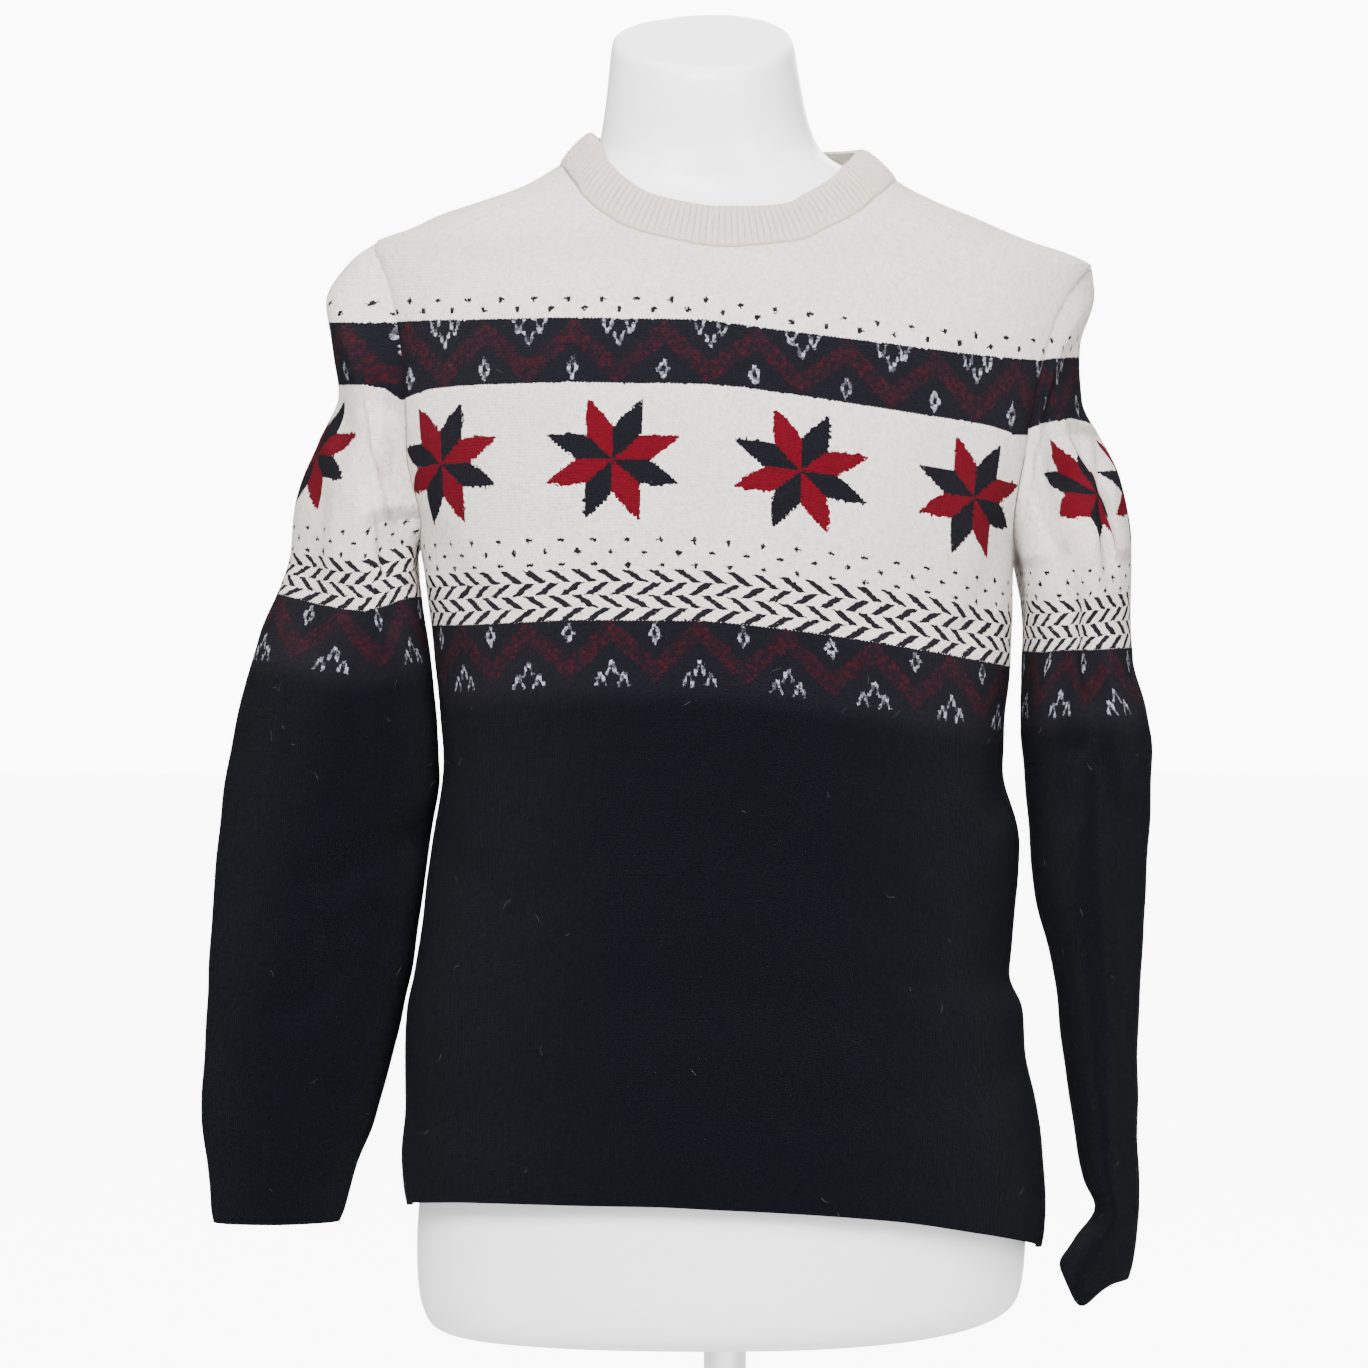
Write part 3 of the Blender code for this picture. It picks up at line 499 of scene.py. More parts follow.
def sleeve_ring(measures, way, angles):
    """One ring of a sleeve: 0 is its outer edge, a quarter turn is the front, a half its inner edge."""
    outer = np.array((read(measures, "outer_x", way), 0, read(measures, "outer_z", way)))
    inner = np.array((read(measures, "inner_x", way), 0, read(measures, "inner_z", way)))
    front = float(read(measures, "front", way))
    back = float(read(measures, "back", way))
    lean = math.radians(float(read(measures, "lean", way)))
    swing = np.cos(angles + lean)[:, None]
    depth = np.where(np.sin(angles) > 0, -front, -back) * np.sin(angles)
    ring = (outer + inner) / 2 + swing * (outer - inner) / 2
    ring[:, 1] = depth
    off_droop = (angles + lean - math.radians(DROOP_TURN)) / math.radians(DROOP_WIDTH)
    ring[:, 2] -= read(measures, "droop", way) * np.exp(-off_droop**2)
    return ring


def tube_normals(rings):
    """Outward normals of a tube of rings, from its neighbours along and around."""
    around = np.roll(rings, -1, axis=1) - np.roll(rings, 1, axis=1)
    along = np.gradient(rings, axis=0)
    normals = unit(np.cross(around, along))
    middle = rings.mean(axis=1, keepdims=True)
    way_out = ((rings - middle) * normals).sum(axis=-1).mean()
    return normals if way_out > 0 else -normals


def even_loop(points, others, count):
    """The same closed loop at an even spacing, with a second set of vectors read along it."""
    closed = np.concatenate((points, points[:1]))
    extra = np.concatenate((others, others[:1]))
    run = np.concatenate(([0], np.cumsum(np.linalg.norm(np.diff(closed, axis=0), axis=1))))
    at = np.linspace(0, run[-1], count, endpoint=False)
    loop = np.stack([np.interp(at, run, closed[:, axis]) for axis in range(3)], axis=-1)
    read_off = np.stack([np.interp(at, run, extra[:, axis]) for axis in range(3)], axis=-1)
    return loop, unit(read_off)


def unevenness(points):
    """A slight, slow waviness of the felted cloth, in metres."""
    x, y, z = (points[..., axis] for axis in range(3))
    wave = np.sin(61 * x + 23 * z + 2 * np.sin(41 * z)) * np.sin(53 * z - 37 * y + 1.3)
    return KNIT_UNEVENNESS * (wave + 0.6 * np.sin(140 * x + 90 * y) * np.sin(150 * z + 60 * y))


def seen_from_front(points):
    """Places on the axis plane where the camera sees these points, in the cloth's own frame."""
    centre_x = CAMERA_PLACE[0] - CLOTH_SHIFT
    nearness = -CAMERA_PLACE[1] / (-CAMERA_PLACE[1] + np.minimum(points[..., 1], 0))
    x = centre_x + (points[..., 0] - centre_x) * nearness
    z = CAMERA_PLACE[2] + (points[..., 2] - CAMERA_PLACE[2]) * nearness
    return x, z


def chart_rows(points, lines):
    """The knit row at each point, from where the chart's edges lie as seen from the front."""
    x, z = seen_from_front(points)
    top, foot, herring_top, herring_foot = (
        np.interp(x, lines["seen_x"], lines[name])
        for name in ("band_top", "band_foot", "herring_top", "herring_foot")
    )
    rows = -(z - top) / SEEN_ROW_HEIGHT
    below_top = (top - z) / (top - foot) * ROW_BAND_FOOT
    below_foot = ROW_BAND_FOOT + (foot - z) / (foot - herring_top) * (ROW_HERRING_TOP - ROW_BAND_FOOT)
    herring = ROW_HERRING_TOP + (herring_top - z) / (herring_top - herring_foot) * (
        ROW_HERRING_FOOT - ROW_HERRING_TOP
    )
    plain = ROW_HERRING_FOOT + (herring_foot - z) / SEEN_ROW_HEIGHT
    rows = np.where(z < top, below_top, rows)
    rows = np.where(z < foot, below_foot, rows)
    rows = np.where(z < herring_top, herring, rows)
    return np.where(z < herring_foot, plain, rows)


def panel_levels():
    """Row levels of a panel: 0 hem, 1 underarm, 2 shoulder tip, 3 neckline."""
    below = np.linspace(0, 1, ROWS_BELOW_ARMHOLE, endpoint=False)
    turn = np.linspace(0, math.pi, ROWS_OF_ARMHOLE, endpoint=False)
    return np.concatenate((below, 1 + (1 - np.cos(turn)) / 2, np.linspace(2, 3, ROWS_OF_SHOULDER + 1)))


def panel(face):
    """Outer points, normals and knit places of the front or back, in rows from hem to neckline."""
    even = np.linspace(0, 1, COLUMNS_OF_PANEL + 1)
    across = (1 - SIDE_CROWDING) * even + SIDE_CROWDING / 2 * (1 - np.cos(math.pi * even))
    side = "front" if face < 0 else "back"
    hem = read(EDGES, "hem_" + side, across)
    neck = read(EDGES, "neck_" + side, across)
    underarm = LEFT_UNDERARM + (RIGHT_UNDERARM - LEFT_UNDERARM) * across
    tip = LEFT_SHOULDER_TIP + (RIGHT_SHOULDER_TIP - LEFT_SHOULDER_TIP) * across
    tip = tip - YOKE_DIP * np.sin(math.pi * across) ** 2
    levels = panel_levels()[:, None]
    heights = np.where(
        levels < 1,
        hem + (underarm - hem) * levels,
        np.where(levels < 2, underarm + (tip - underarm) * (levels - 1), tip + (neck - tip) * (levels - 2)),
    )
    ends = []
    for column in (0, -1):
        end_height = heights[:, column]
        girth = body_points(face, np.full_like(end_height, 0.5), end_height)[1]
        share = levels[:, 0] - 1
        ease = LEFT_ARMHOLE_EASE if face < 0 and column == 0 else 0
        eased = 1 - ease * np.exp(-(((share - EASE_PLACE) / EASE_REACH) ** 2))
        cut = armhole_inset(face, share) * eased + SEAM_GAP * PANEL_SEAM_SHARE
        ends.append(cut / girth)
    shares = ends[0][:, None] + (1 - ends[0] - ends[1])[:, None] * across
    points, girths = body_points(face, shares, heights)
    normals = body_normals(face, shares, heights)
    from_side = np.minimum(across, 1 - across) * girths
    groove = SEAM_GROOVE * np.exp(-((from_side / SEAM_GROOVE_WIDTH) ** 2))
    roll = HEM_ROLL * np.exp(-(((heights - hem) / HEM_ROLL_WIDTH) ** 2))
    press = fold_depth(points, normals) + groove + roll + unevenness(points)
    stitches = (shares - 0.5) * girths / STITCH_WIDTH
    rows = chart_rows(points, FRONT_LINES if face < 0 else BACK_LINES)
    return points - normals * press[..., None], normals, np.stack((stitches, rows), axis=-1)


def sleeve(measures, lines, armhole, edge_normals, gauge, shift, tuck):
    """Outer points, normals and knit places of a sleeve, in rings from the armhole to the cuff.

    Its rings start and end at the underarm, so the last knit place of a ring has no point of its own.
    """
    count = len(armhole)
    angles = np.arange(count) * 2 * math.pi / count
    inward = unit(armhole.mean(axis=0) - armhole)
    into_hole = unit(inward - (inward * edge_normals).sum(axis=-1, keepdims=True) * edge_normals)
    start = armhole + unit(into_hole + edge_normals) * SEAM_GAP * SLEEVE_SEAM_SHARE
    length = measures["way"][-1]
    ways = length * np.linspace(0, 1, RINGS_OF_SLEEVE) ** RING_CROWDING
    misfit = start - sleeve_ring(measures, 0, angles)
    rings = []
    for way in ways:
        fade = np.clip(1 - way / (ARMHOLE_FADE * length), 0, 1)
        fade = fade * fade * (3 - 2 * fade)
        rings.append(sleeve_ring(measures, way, angles) + misfit * fade)
    rings = np.array(rings)
    normals = tube_normals(rings)
    roll = HEM_ROLL * np.exp(-(((length - ways) / HEM_ROLL_WIDTH) ** 2))[:, None]
    settle = np.clip(ways / SEAM_SETTLE, 0, 1)[:, None]
    press = (fold_depth(rings, normals) + unevenness(rings)) * settle + roll
    pressed = rings - normals * press[..., None]
    agree = (normals[0] * edge_normals).sum(axis=-1, keepdims=True)
    smooth_seam = np.clip((agree + 0.2) / 0.6, 0, 1)
    normals[0] = unit(edge_normals * smooth_seam + normals[0] * (1 - smooth_seam))
    underarm = count // 2
    pressed, normals = (np.roll(grid, -underarm, axis=1) for grid in (pressed, normals))
    closed = np.concatenate((pressed, pressed[:, :1]), axis=1)
    steps = np.linalg.norm(np.diff(closed, axis=1), axis=-1)
    run = np.concatenate((np.zeros((len(ways), 1)), np.cumsum(steps, axis=1)), axis=1)
    run = run - run[:, underarm:underarm + 1]
    regular = run[np.searchsorted(ways, REGULAR_FROM)]
    run = regular + (run - regular) * np.clip(ways / REGULAR_FROM, 0, 1)[:, None] ** 2
    stitches = run * gauge / STITCH_WIDTH + shift
    rows = chart_rows(closed, lines)
    first_row, last_row = STAR_ROWS
    near_stars = np.clip((rows - first_row) / STAR_ROWS_FADE, 0, 1)
    near_stars = near_stars * np.clip((last_row - rows) / STAR_ROWS_FADE, 0, 1)
    to_seam = math.copysign(1, gauge)
    beyond = np.maximum((stitches - STAR_PHASE) * to_seam - STAR_REPEAT / 2, 0)
    stitches = stitches - to_seam * beyond * near_stars
    at_fold = np.clip((stitches - TUCK_STITCH) / 1.5, 0, 1)
    stitches = stitches + tuck * at_fold * near_stars
    return pressed, normals, np.stack((stitches, rows), axis=-1)


def neckband(neckline, neckline_normals):
    """Outer and inner points of the ribbed band and its knit places, from its seam up."""
    count = POINTS_OF_RIB * RIB_COUNT
    seam, seam_normals = even_loop(neckline, neckline_normals, count)
    aside = seam - seam.mean(axis=0)
    angle = np.degrees(np.arctan2(aside[:, 0], -aside[:, 1])) % 360
    climb = read(NECKBAND, "rise", angle)[:, None] * np.array((0, 0, 1.0))
    climb = climb - read(NECKBAND, "inward", angle)[:, None] * unit(aside * np.array((1, 1, 0)))
    foot = seam + unit(climb) * BAND_GAP
    along = np.roll(seam, -1, axis=0) - np.roll(seam, 1, axis=0)
    band_normals = unit(np.cross(along, climb))
    turns = 2 * math.pi * np.arange(count) / POINTS_OF_RIB
    rib = RIB_RISE * (1.5 * np.abs(np.cos(turns / 2)) - 0.6)[:, None]
    outer = []
    inner = []
    shares = np.linspace(0, 1, ROWS_OF_BAND)
    for share in shares:
        facing = unit(seam_normals * max(0, 1 - 2 * share) + band_normals * min(1, 2 * share))
        core = foot + climb * share + facing * BAND_BULGE * math.sin(math.pi * share)
        edge_round = 1 - 0.8 * (2 * share - 1) ** 6
        outer.append(core + facing * (rib * edge_round - BAND_WALL * 0.18 * (2 * share - 1) ** 8))
        inner.append(core - facing * BAND_WALL)
    stitches = np.arange(count + 1) / POINTS_OF_RIB
    rows = shares * np.linalg.norm(climb, axis=-1).mean() / ROW_HEIGHT
    places = np.stack(np.broadcast_arrays(stitches[None], -rows[:, None]), axis=-1)
    return np.array(outer), np.array(inner), places


def cloth_surfaces():
    """Every cloth surface by node: outer and inner points, normals, knit places, and if it closes."""
    panels = {face: panel(face) for face in (-1, 1)}
    surfaces = {}
    for face, name in ((-1, "sweater_front"), (1, "sweater_back")):
        points, normals, places = panels[face]
        surfaces[name] = (points, points - normals * CLOTH_WALL, normals, places, False)
    lowest = ROWS_BELOW_ARMHOLE
    highest = lowest + ROWS_OF_ARMHOLE
    for name, column, measures, lines, gauge, shift, tuck in (
        (
            "sleeve_right", 0, LEFT_SLEEVE, LEFT_SLEEVE_LINES,
            LEFT_SLEEVE_GAUGE, LEFT_SLEEVE_SHIFT, 0,
        ),
        (
            "sleeve_left", -1, RIGHT_SLEEVE, RIGHT_SLEEVE_LINES,
            RIGHT_SLEEVE_GAUGE, RIGHT_SLEEVE_SHIFT, TUCKED_STITCHES,
        ),
    ):
        edge = []
        for place in (0, 1):
            front = panels[-1][place][lowest:highest + 1, column]
            back = panels[1][place][lowest:highest + 1, column]
            tip = (front[-1] + back[-1]) / 2
            underarm = (front[0] + back[0]) / 2
            edge.append(np.concatenate(([tip], front[-2:0:-1], [underarm], back[1:-1])))
        points, normals, places = sleeve(measures, lines, edge[0], unit(edge[1]), gauge, shift, tuck)
        surfaces[name] = (points, points - normals * CLOTH_WALL, normals, places, True)
    neckline = [np.concatenate((panels[-1][place][-1], panels[1][place][-1, ::-1])) for place in (0, 1)]
    outer, inner, places = neckband(*neckline)
    surfaces["neckband"] = (outer, inner, unit(outer - inner), places, True)
    return surfaces


def select_only(thing):
    bpy.ops.object.select_all(action="DESELECT")
    thing.select_set(True)
    bpy.context.view_layer.objects.active = thing


def mesh_piece(name, points, faces, corner_places, material):
    """A cloth mesh in the row frame, with its knit places as a UV map."""
    mesh = bpy.data.meshes.new(name)
    mesh.from_pydata((points + np.array((CLOTH_SHIFT, 0, 0))).tolist(), [], faces)
    knit = mesh.uv_layers.new(name="knit")
    knit.data.foreach_set("uv", np.asarray(corner_places, dtype=np.float32).ravel())
    mesh.materials.append(material)
    mesh.shade_smooth()
    piece = bpy.data.objects.new(name, mesh)
    bpy.context.scene.collection.objects.link(piece)
    return piece


def cloth_shell(name, outer, inner, places, closed, material):
    """A thin shell between two grids of points: both faces and the cut edges all round."""
    rows, columns = outer.shape[:2]
    behind = rows * columns
    faces = []
    corners = []

    def add(cells):
        faces.append(
            tuple(layer * behind + row * columns + column % columns for layer, row, column in cells)
        )
        corners.extend(places[row, column] for _, row, column in cells)

    for row in range(rows - 1):
        for column in range(columns if closed else columns - 1):
            ring = ((row, column), (row, column + 1), (row + 1, column + 1), (row + 1, column))
            add([(0, *cell) for cell in ring])
            add([(1, *cell) for cell in reversed(ring)])
    for column in range(columns if closed else columns - 1):
        add([(1, 0, column), (1, 0, column + 1), (0, 0, column + 1), (0, 0, column)])
        top = rows - 1
        add([(0, top, column), (0, top, column + 1), (1, top, column + 1), (1, top, column)])
    if not closed:
        last = columns - 1
        for row in range(rows - 1):
            add([(0, row, 0), (0, row + 1, 0), (1, row + 1, 0), (1, row, 0)])
            add([(1, row, last), (1, row + 1, last), (0, row + 1, last), (0, row, last)])
    points = np.concatenate((outer.reshape(-1, 3), inner.reshape(-1, 3)))
    piece = mesh_piece(name, points, faces, corners, material)
    work = bmesh.new()
    work.from_mesh(piece.data)
    bmesh.ops.recalc_face_normals(work, faces=work.faces)
    work.to_mesh(piece.data)
    work.free()
    piece.data.set_sharp_from_angle(angle=math.radians(60))
    return piece


def felt_fibres(name, surface, count, length, width, lift, seed, material):
    """Short bent fibres that stand off the felt, three faces each, coloured by the stitch below."""
    outer, _, normals, places, closed = surface
    chance = np.random.default_rng(seed)
    rows, columns = outer.shape[:2]
    row = chance.uniform(0, rows - 1.001, count)
    column = chance.uniform(0, columns - 1.001, count)
    r, c = row.astype(int), column.astype(int)
    fr, fc = (row - r)[:, None], (column - c)[:, None]

    def between(grid):
        low = grid[r, c] * (1 - fc) + grid[r, c + 1] * fc
        high = grid[r + 1, c] * (1 - fc) + grid[r + 1, c + 1] * fc
        return low * (1 - fr) + high * fr

    root, out, place = between(outer), unit(between(normals)), between(places)
    wild = unit(chance.normal(size=(count, 3)))
    along = unit(wild - (wild * out).sum(axis=-1, keepdims=True) * out)
    size = length * chance.uniform(0.45, 1.3, count)[:, None]
    rise = lift * chance.uniform(0.3, 1.4, count)[:, None]
    middle = root + size * 0.5 * (along * 0.7 + out * rise)
    turned = unit(along + 0.8 * np.cross(out, along) * chance.normal(size=(count, 1)))
    tip = middle + size * 0.5 * (turned * 0.8 + out * rise * 0.5)
    aside = unit(np.cross(along, out) + 0.5 * out) * width / 2
    points = np.stack((root - aside, root + aside, middle - aside, middle + aside, tip), axis=1)
    base = 5 * np.arange(count)[:, None]
    quads = (base + np.array((0, 1, 3, 2))).tolist()
    ends = (base + np.array((2, 3, 4))).tolist()
    corners = np.concatenate((np.repeat(place, 4, axis=0), np.repeat(place, 3, axis=0)))
    return mesh_piece(name, points.reshape(-1, 3), quads + ends, corners, material)


class Link:
    """One socket of a material, on which Python's operators add Math nodes."""

    def __init__(self, paint, socket):
        self.paint = paint
        self.socket = socket

    def maths(self, operation, *values):
        return self.paint.add("ShaderNodeMath", {"operation": operation}, dict(enumerate(values)))

    def __add__(self, other):
        return self.maths("ADD", self, other)

    def __radd__(self, other):
        return self.maths("ADD", other, self)

    def __sub__(self, other):
        return self.maths("SUBTRACT", self, other)

    def __rsub__(self, other):
        return self.maths("SUBTRACT", other, self)

    def __mul__(self, other):
        return self.maths("MULTIPLY", self, other)

    def __rmul__(self, other):
        return self.maths("MULTIPLY", other, self)

    def __truediv__(self, other):
        return self.maths("DIVIDE", self, other)

    def __abs__(self):
        return self.maths("ABSOLUTE", self)

    def __lt__(self, other):
        return self.maths("LESS_THAN", self, other)

    def __gt__(self, other):
        return self.maths("GREATER_THAN", self, other)

    def floor(self):
        return self.maths("FLOOR", self)

    def least(self, other):
        return self.maths("MINIMUM", self, other)

    def most(self, other):
        return self.maths("MAXIMUM", self, other)

    def from_repeat(self, pitch, phase=0.0):
        """The distance from the nearest of the places phase, phase + pitch and so on."""
        shifted = self - (phase - pitch / 2)
        return shifted - (shifted / pitch).floor() * pitch - pitch / 2


class Paint:
    """A node material that is built up from expressions."""

    def __init__(self, name):
        self.material = bpy.data.materials.new(name)
        self.material.use_nodes = True
        self.nodes = self.material.node_tree.nodes
        self.links = self.material.node_tree.links
        self.shader = self.nodes["Principled BSDF"]

    def add(self, kind, settings=None, sockets=None, output=0):
        node = self.nodes.new(kind)
        for name, value in (settings or {}).items():
            setattr(node, name, value)
        for place, value in (sockets or {}).items():
            self.join(node.inputs[place], value)
        return Link(self, node.outputs[output])

    def join(self, socket, value):
        if isinstance(value, Link):
            self.links.new(value.socket, socket)
        else:
            socket.default_value = value

    def mix(self, share, first, second):
        """A colour between two colours."""
        colours = [(*c, 1) if isinstance(c, tuple) and len(c) == 3 else c for c in (first, second)]
        return self.add(
            "ShaderNodeMix", {"data_type": "RGBA"}, {0: share, 6: colours[0], 7: colours[1]}, output=2
        )

    def noise(self, scale, detail, place, roughness=0.5):
        return self.add(
            "ShaderNodeTexNoise",
            sockets={"Vector": place, "Scale": scale, "Detail": detail, "Roughness": roughness},
        )

    def soft_step(self, value, low, high):
        return self.add(
            "ShaderNodeMapRange",
            {"interpolation_type": "SMOOTHSTEP"},
            {"Value": value, "From Min": low, "From Max": high},
        )

    def object_place(self):
        return self.add("ShaderNodeTexCoord", output="Object")

    def knit_place(self):
        """Stitches across and rows down, from the cloth's own UV map."""
        place = self.add("ShaderNodeUVMap", {"uv_map": "knit"})
        across = self.add("ShaderNodeSeparateXYZ", sockets={0: place}, output=0)
        down = self.add("ShaderNodeSeparateXYZ", sockets={0: place}, output=1)
        return across, down

    def cell_chance(self, across, down):
        """A number from 0 to 1 that is the same all over one stitch."""
        cell = self.add("ShaderNodeCombineXYZ", sockets={0: across.floor(), 1: down.floor()})
        return self.add("ShaderNodeTexWhiteNoise", {"noise_dimensions": "2D"}, {"Vector": cell})

    def finish(self, colour, roughness, normal=None, **constants):
        self.join(self.shader.inputs["Base Color"], colour)
        self.join(self.shader.inputs["Roughness"], roughness)
        if normal is not None:
            self.join(self.shader.inputs["Normal"], normal)
        for name, value in constants.items():
            self.shader.inputs[name.replace("_", " ")].default_value = value
        return self.material

    def bump(self, height, strength, distance):
        sockets = {"Height": height, "Strength": strength, "Distance": distance}
        return self.add("ShaderNodeBump", sockets=sockets)


# Charted motifs, in stitches and rows: a phase is a stitch on which a motif is centred
TOP_BAND_REPEAT = 24.7
TOP_BAND_PHASE = -90.0
TOP_RING_ROW = 16.1
LOWER_BAND_REPEAT = 23.7
LOWER_BAND_PHASE = -42.0
LOWER_RING_ROW = 17.6
LOWER_BAND_FOOT = ROW_HERRING_FOOT + 22.0

# The bands' small V marks, rings of leaves and zigzags, counted from the band's plain edge
MARK_START = 0.25
MARK_SLOPE = 0.29
MARK_HALF_WIDTH = 0.36
MARK_ROWS = 4.0
OUTER_MARK_ASIDE = 3.1
OUTER_MARK_ROW = 4.3
INNER_MARK_ROW = 8.2
RING_HALF_WIDTH = 1.75
RING_HALF_HEIGHT = 3.7
RING_HOLE = 0.5
RING_SLIT = 0.34
ZIGZAG_FROM_RING = 1.2
ZIGZAG_SWING = 13.4
ZIGZAG_HALF_HEIGHT = 3.7

# The stars, with their notches and bulges as shares of a star's half width
STAR_REPEAT = 50.6
STAR_PHASE = -28.7
STAR_ROW = 46.0
STAR_ROWS = (22, 70)
STAR_ROWS_FADE = 3
STAR_HALF_WIDTH = 18.8
STAR_HALF_HEIGHT = 20.5
STAR_SIDE_NOTCH = 0.53
STAR_CORNER_NOTCH = 0.385
STAR_TIP_SLOPE = 1.12
STAR_SIDE_BULGE = 0.9
STAR_TIP_BULGE = 0.3

# The dots above the top band and below the stars
UPPER_DOT_REPEAT = 9.35
UPPER_DOT_PHASE = -80.1
UPPER_DOT_ROWS = (-6.4, -3.1)
LOWER_DOT_REPEAT = 9.1
LOWER_DOT_PHASE = -52.1
LOWER_DOT_ROWS = (72.4, 76.4, 80.5)
DOT_REACH = 0.95
DOT_ROW_SHARE = 0.85

# The herringbone's dashes
DASH_LINES = 4
DASH_REPEAT = 7.0
DASH_ROWS = 4.2
DASH_REACH = 5.0
DASH_HALF_WIDTH = 1.35
LEANING_DASH_PHASE = -60.5
RISING_DASH_PHASE = -52.0

# How far a motif's edge keeps to whole stitches, the rest being blurred by the felt
STITCH_SHARE = 0.55


def star_masks(across, down):
    """Where the eight-point stars lie, and which of their petals are navy."""
    aside = across.from_repeat(STAR_REPEAT, STAR_PHASE) / STAR_HALF_WIDTH
    below = (down - STAR_ROW) / STAR_HALF_HEIGHT
    near, far = abs(aside).least(abs(below)), abs(aside).most(abs(below))
    leaf = near * (STAR_CORNER_NOTCH - near) * STAR_SIDE_BULGE
    from_tip = (1.0 - far) * (far - STAR_CORNER_NOTCH)
    in_sides = (far - near * STAR_TIP_SLOPE - leaf) < STAR_SIDE_NOTCH
    in_corners = (near - from_tip * STAR_TIP_BULGE) < STAR_CORNER_NOTCH
    same_side = (aside * below) < 0
    steep = abs(below) > abs(aside)
    return in_sides * in_corners, abs(same_side + steep - 1)


def v_mark(across, down, tip_row):
    """A small V, with its point on tip_row."""
    climb = tip_row - down
    legs = abs(abs(across) - MARK_START - climb * MARK_SLOPE) < MARK_HALF_WIDTH
    return legs * (climb > -0.4) * (climb < MARK_ROWS)


def ring_leaf(across, down, row):
    """A small diamond of four leaves round a dark middle."""
    away = abs(down - row)
    reach = abs(across) / RING_HALF_WIDTH + away / RING_HALF_HEIGHT
    return (reach < 1.0) * (reach > RING_HOLE) * (abs(across) + away * 0.1 > RING_SLIT)


def band_motifs(across, down, repeat, phase, edge_row, way, ring_row):
    """The pale marks and the maroon zigzag of a band, counted away from its own edge."""
    inward = (down - edge_row) * way
    marks = across.from_repeat(repeat, phase + repeat / 2)
    outer_marks = v_mark(abs(marks) - OUTER_MARK_ASIDE, inward, OUTER_MARK_ROW)
    inner_mark = v_mark(marks, inward, INNER_MARK_ROW)
    rings = ring_leaf(across.from_repeat(repeat, phase), inward, ring_row)
    swing = abs(marks) / (repeat / 2)
    from_middle = inward - (ring_row + ZIGZAG_FROM_RING) + swing * ZIGZAG_SWING
    return outer_marks.most(inner_mark).most(rings), abs(from_middle) < ZIGZAG_HALF_HEIGHT


def dots(across, down, rows, repeat, phase):
    """Single dark stitches, each row of them half a repeat beside the last."""
    found = 0.0
    for place, row in enumerate(rows):
        start = phase + (repeat / 2 if place % 2 else 0)
        reach = abs(across.from_repeat(repeat, start)) * DOT_REACH + abs(down - row) * DOT_ROW_SHARE
        found = (reach < DOT_REACH) + found
    return found


def herringbone(across, down):
    """Rows of slanting dark dashes, leaning to and fro."""
    found = 0.0
    for place in range(DASH_LINES):
        top = ROW_HERRING_TOP + place * DASH_ROWS
        share = (down - top) / DASH_ROWS
        inside = (share > 0.0) * (share < 1.0)
        lean = share * DASH_REACH if place % 2 == 0 else share * -DASH_REACH
        phase = LEANING_DASH_PHASE if place % 2 == 0 else RISING_DASH_PHASE
        found = inside * (abs((across - lean).from_repeat(DASH_REPEAT, phase)) < DASH_HALF_WIDTH) + found
    return found


def chart_masks(across, down, dashes):
    """Where each kind of motif lies, by name, from 0 to 1."""
    star, navy_petal = star_masks(across, down)
    top_marks, top_zigzag = band_motifs(
        across, down, TOP_BAND_REPEAT, TOP_BAND_PHASE, 0.0, 1.0, TOP_RING_ROW
    )
    low_marks, low_zigzag = band_motifs(
        across, down, LOWER_BAND_REPEAT, LOWER_BAND_PHASE, LOWER_BAND_FOOT, -1.0, LOWER_RING_ROW
    )
    upper_dots = dots(across, down, UPPER_DOT_ROWS, UPPER_DOT_REPEAT, UPPER_DOT_PHASE)
    lower_dots = dots(across, down, LOWER_DOT_ROWS, LOWER_DOT_REPEAT, LOWER_DOT_PHASE)
    in_top = (down > 0.0) * (down < ROW_BAND_FOOT)
    in_low = down > ROW_HERRING_FOOT
    navy_ground = in_top.most(in_low)
    cream_ground = 1.0 - navy_ground
    return {
        "navy_ground": navy_ground,
        "zigzag": (top_zigzag * in_top).most(low_zigzag * in_low * (down < LOWER_BAND_FOOT)),
        "pale_marks": (top_marks * in_top).most(low_marks * in_low),
        "dark_marks": dashes.most(upper_dots).most(lower_dots).least(1.0) * cream_ground,
        "star": star * cream_ground,
        "navy_petal": navy_petal,
    }


def wool_bump(paint, across, down, place, knit_strength):
    """Stitch legs sunk in felt, under fine and coarse fibre."""
    beside = abs(across - across.floor() - 0.5)
    leg = 1.0 - (beside * 4.0 - 1.0) * (beside * 4.0 - 1.0)
    slant = down + beside * 1.1
    rung = slant - slant.floor() - 0.5
    knit = leg * (1.0 - rung * rung * 3.0)
    fibre = paint.noise(1500.0, 4.0, place, 0.7)
    lumps = paint.noise(240.0, 3.0, place, 0.6)
    return paint.bump(knit * knit_strength + fibre * 0.8 + lumps * 1.5, 1.0, 0.0017)


def half_stepped(blurred, stitch):
    """A place between the felt's blurred one and the middle of the stitch it lies in."""
    return blurred * (1 - STITCH_SHARE) + (stitch.floor() + 0.5) * STITCH_SHARE


def cream_felt(paint, place, colours):
    """The yoke's cream, with blotches, tufts and darker specks."""
    blotch = paint.soft_step(paint.noise(26.0, 3.0, place, 0.6), 0.3, 0.75)
    cream = paint.mix(blotch * 0.6, colours.cream[:], colours.cream_shade[:])
    tufts = paint.soft_step(paint.noise(330.0, 5.0, place, 0.85), 0.42, 0.66)
    cream = paint.mix(tufts * 0.8, cream, colours.cream_depth[:])
    specks = paint.soft_step(paint.noise(520.0, 2.0, place, 0.8), 0.68, 0.80)
    return paint.mix(specks * 0.30, cream, colours.fleck[:])


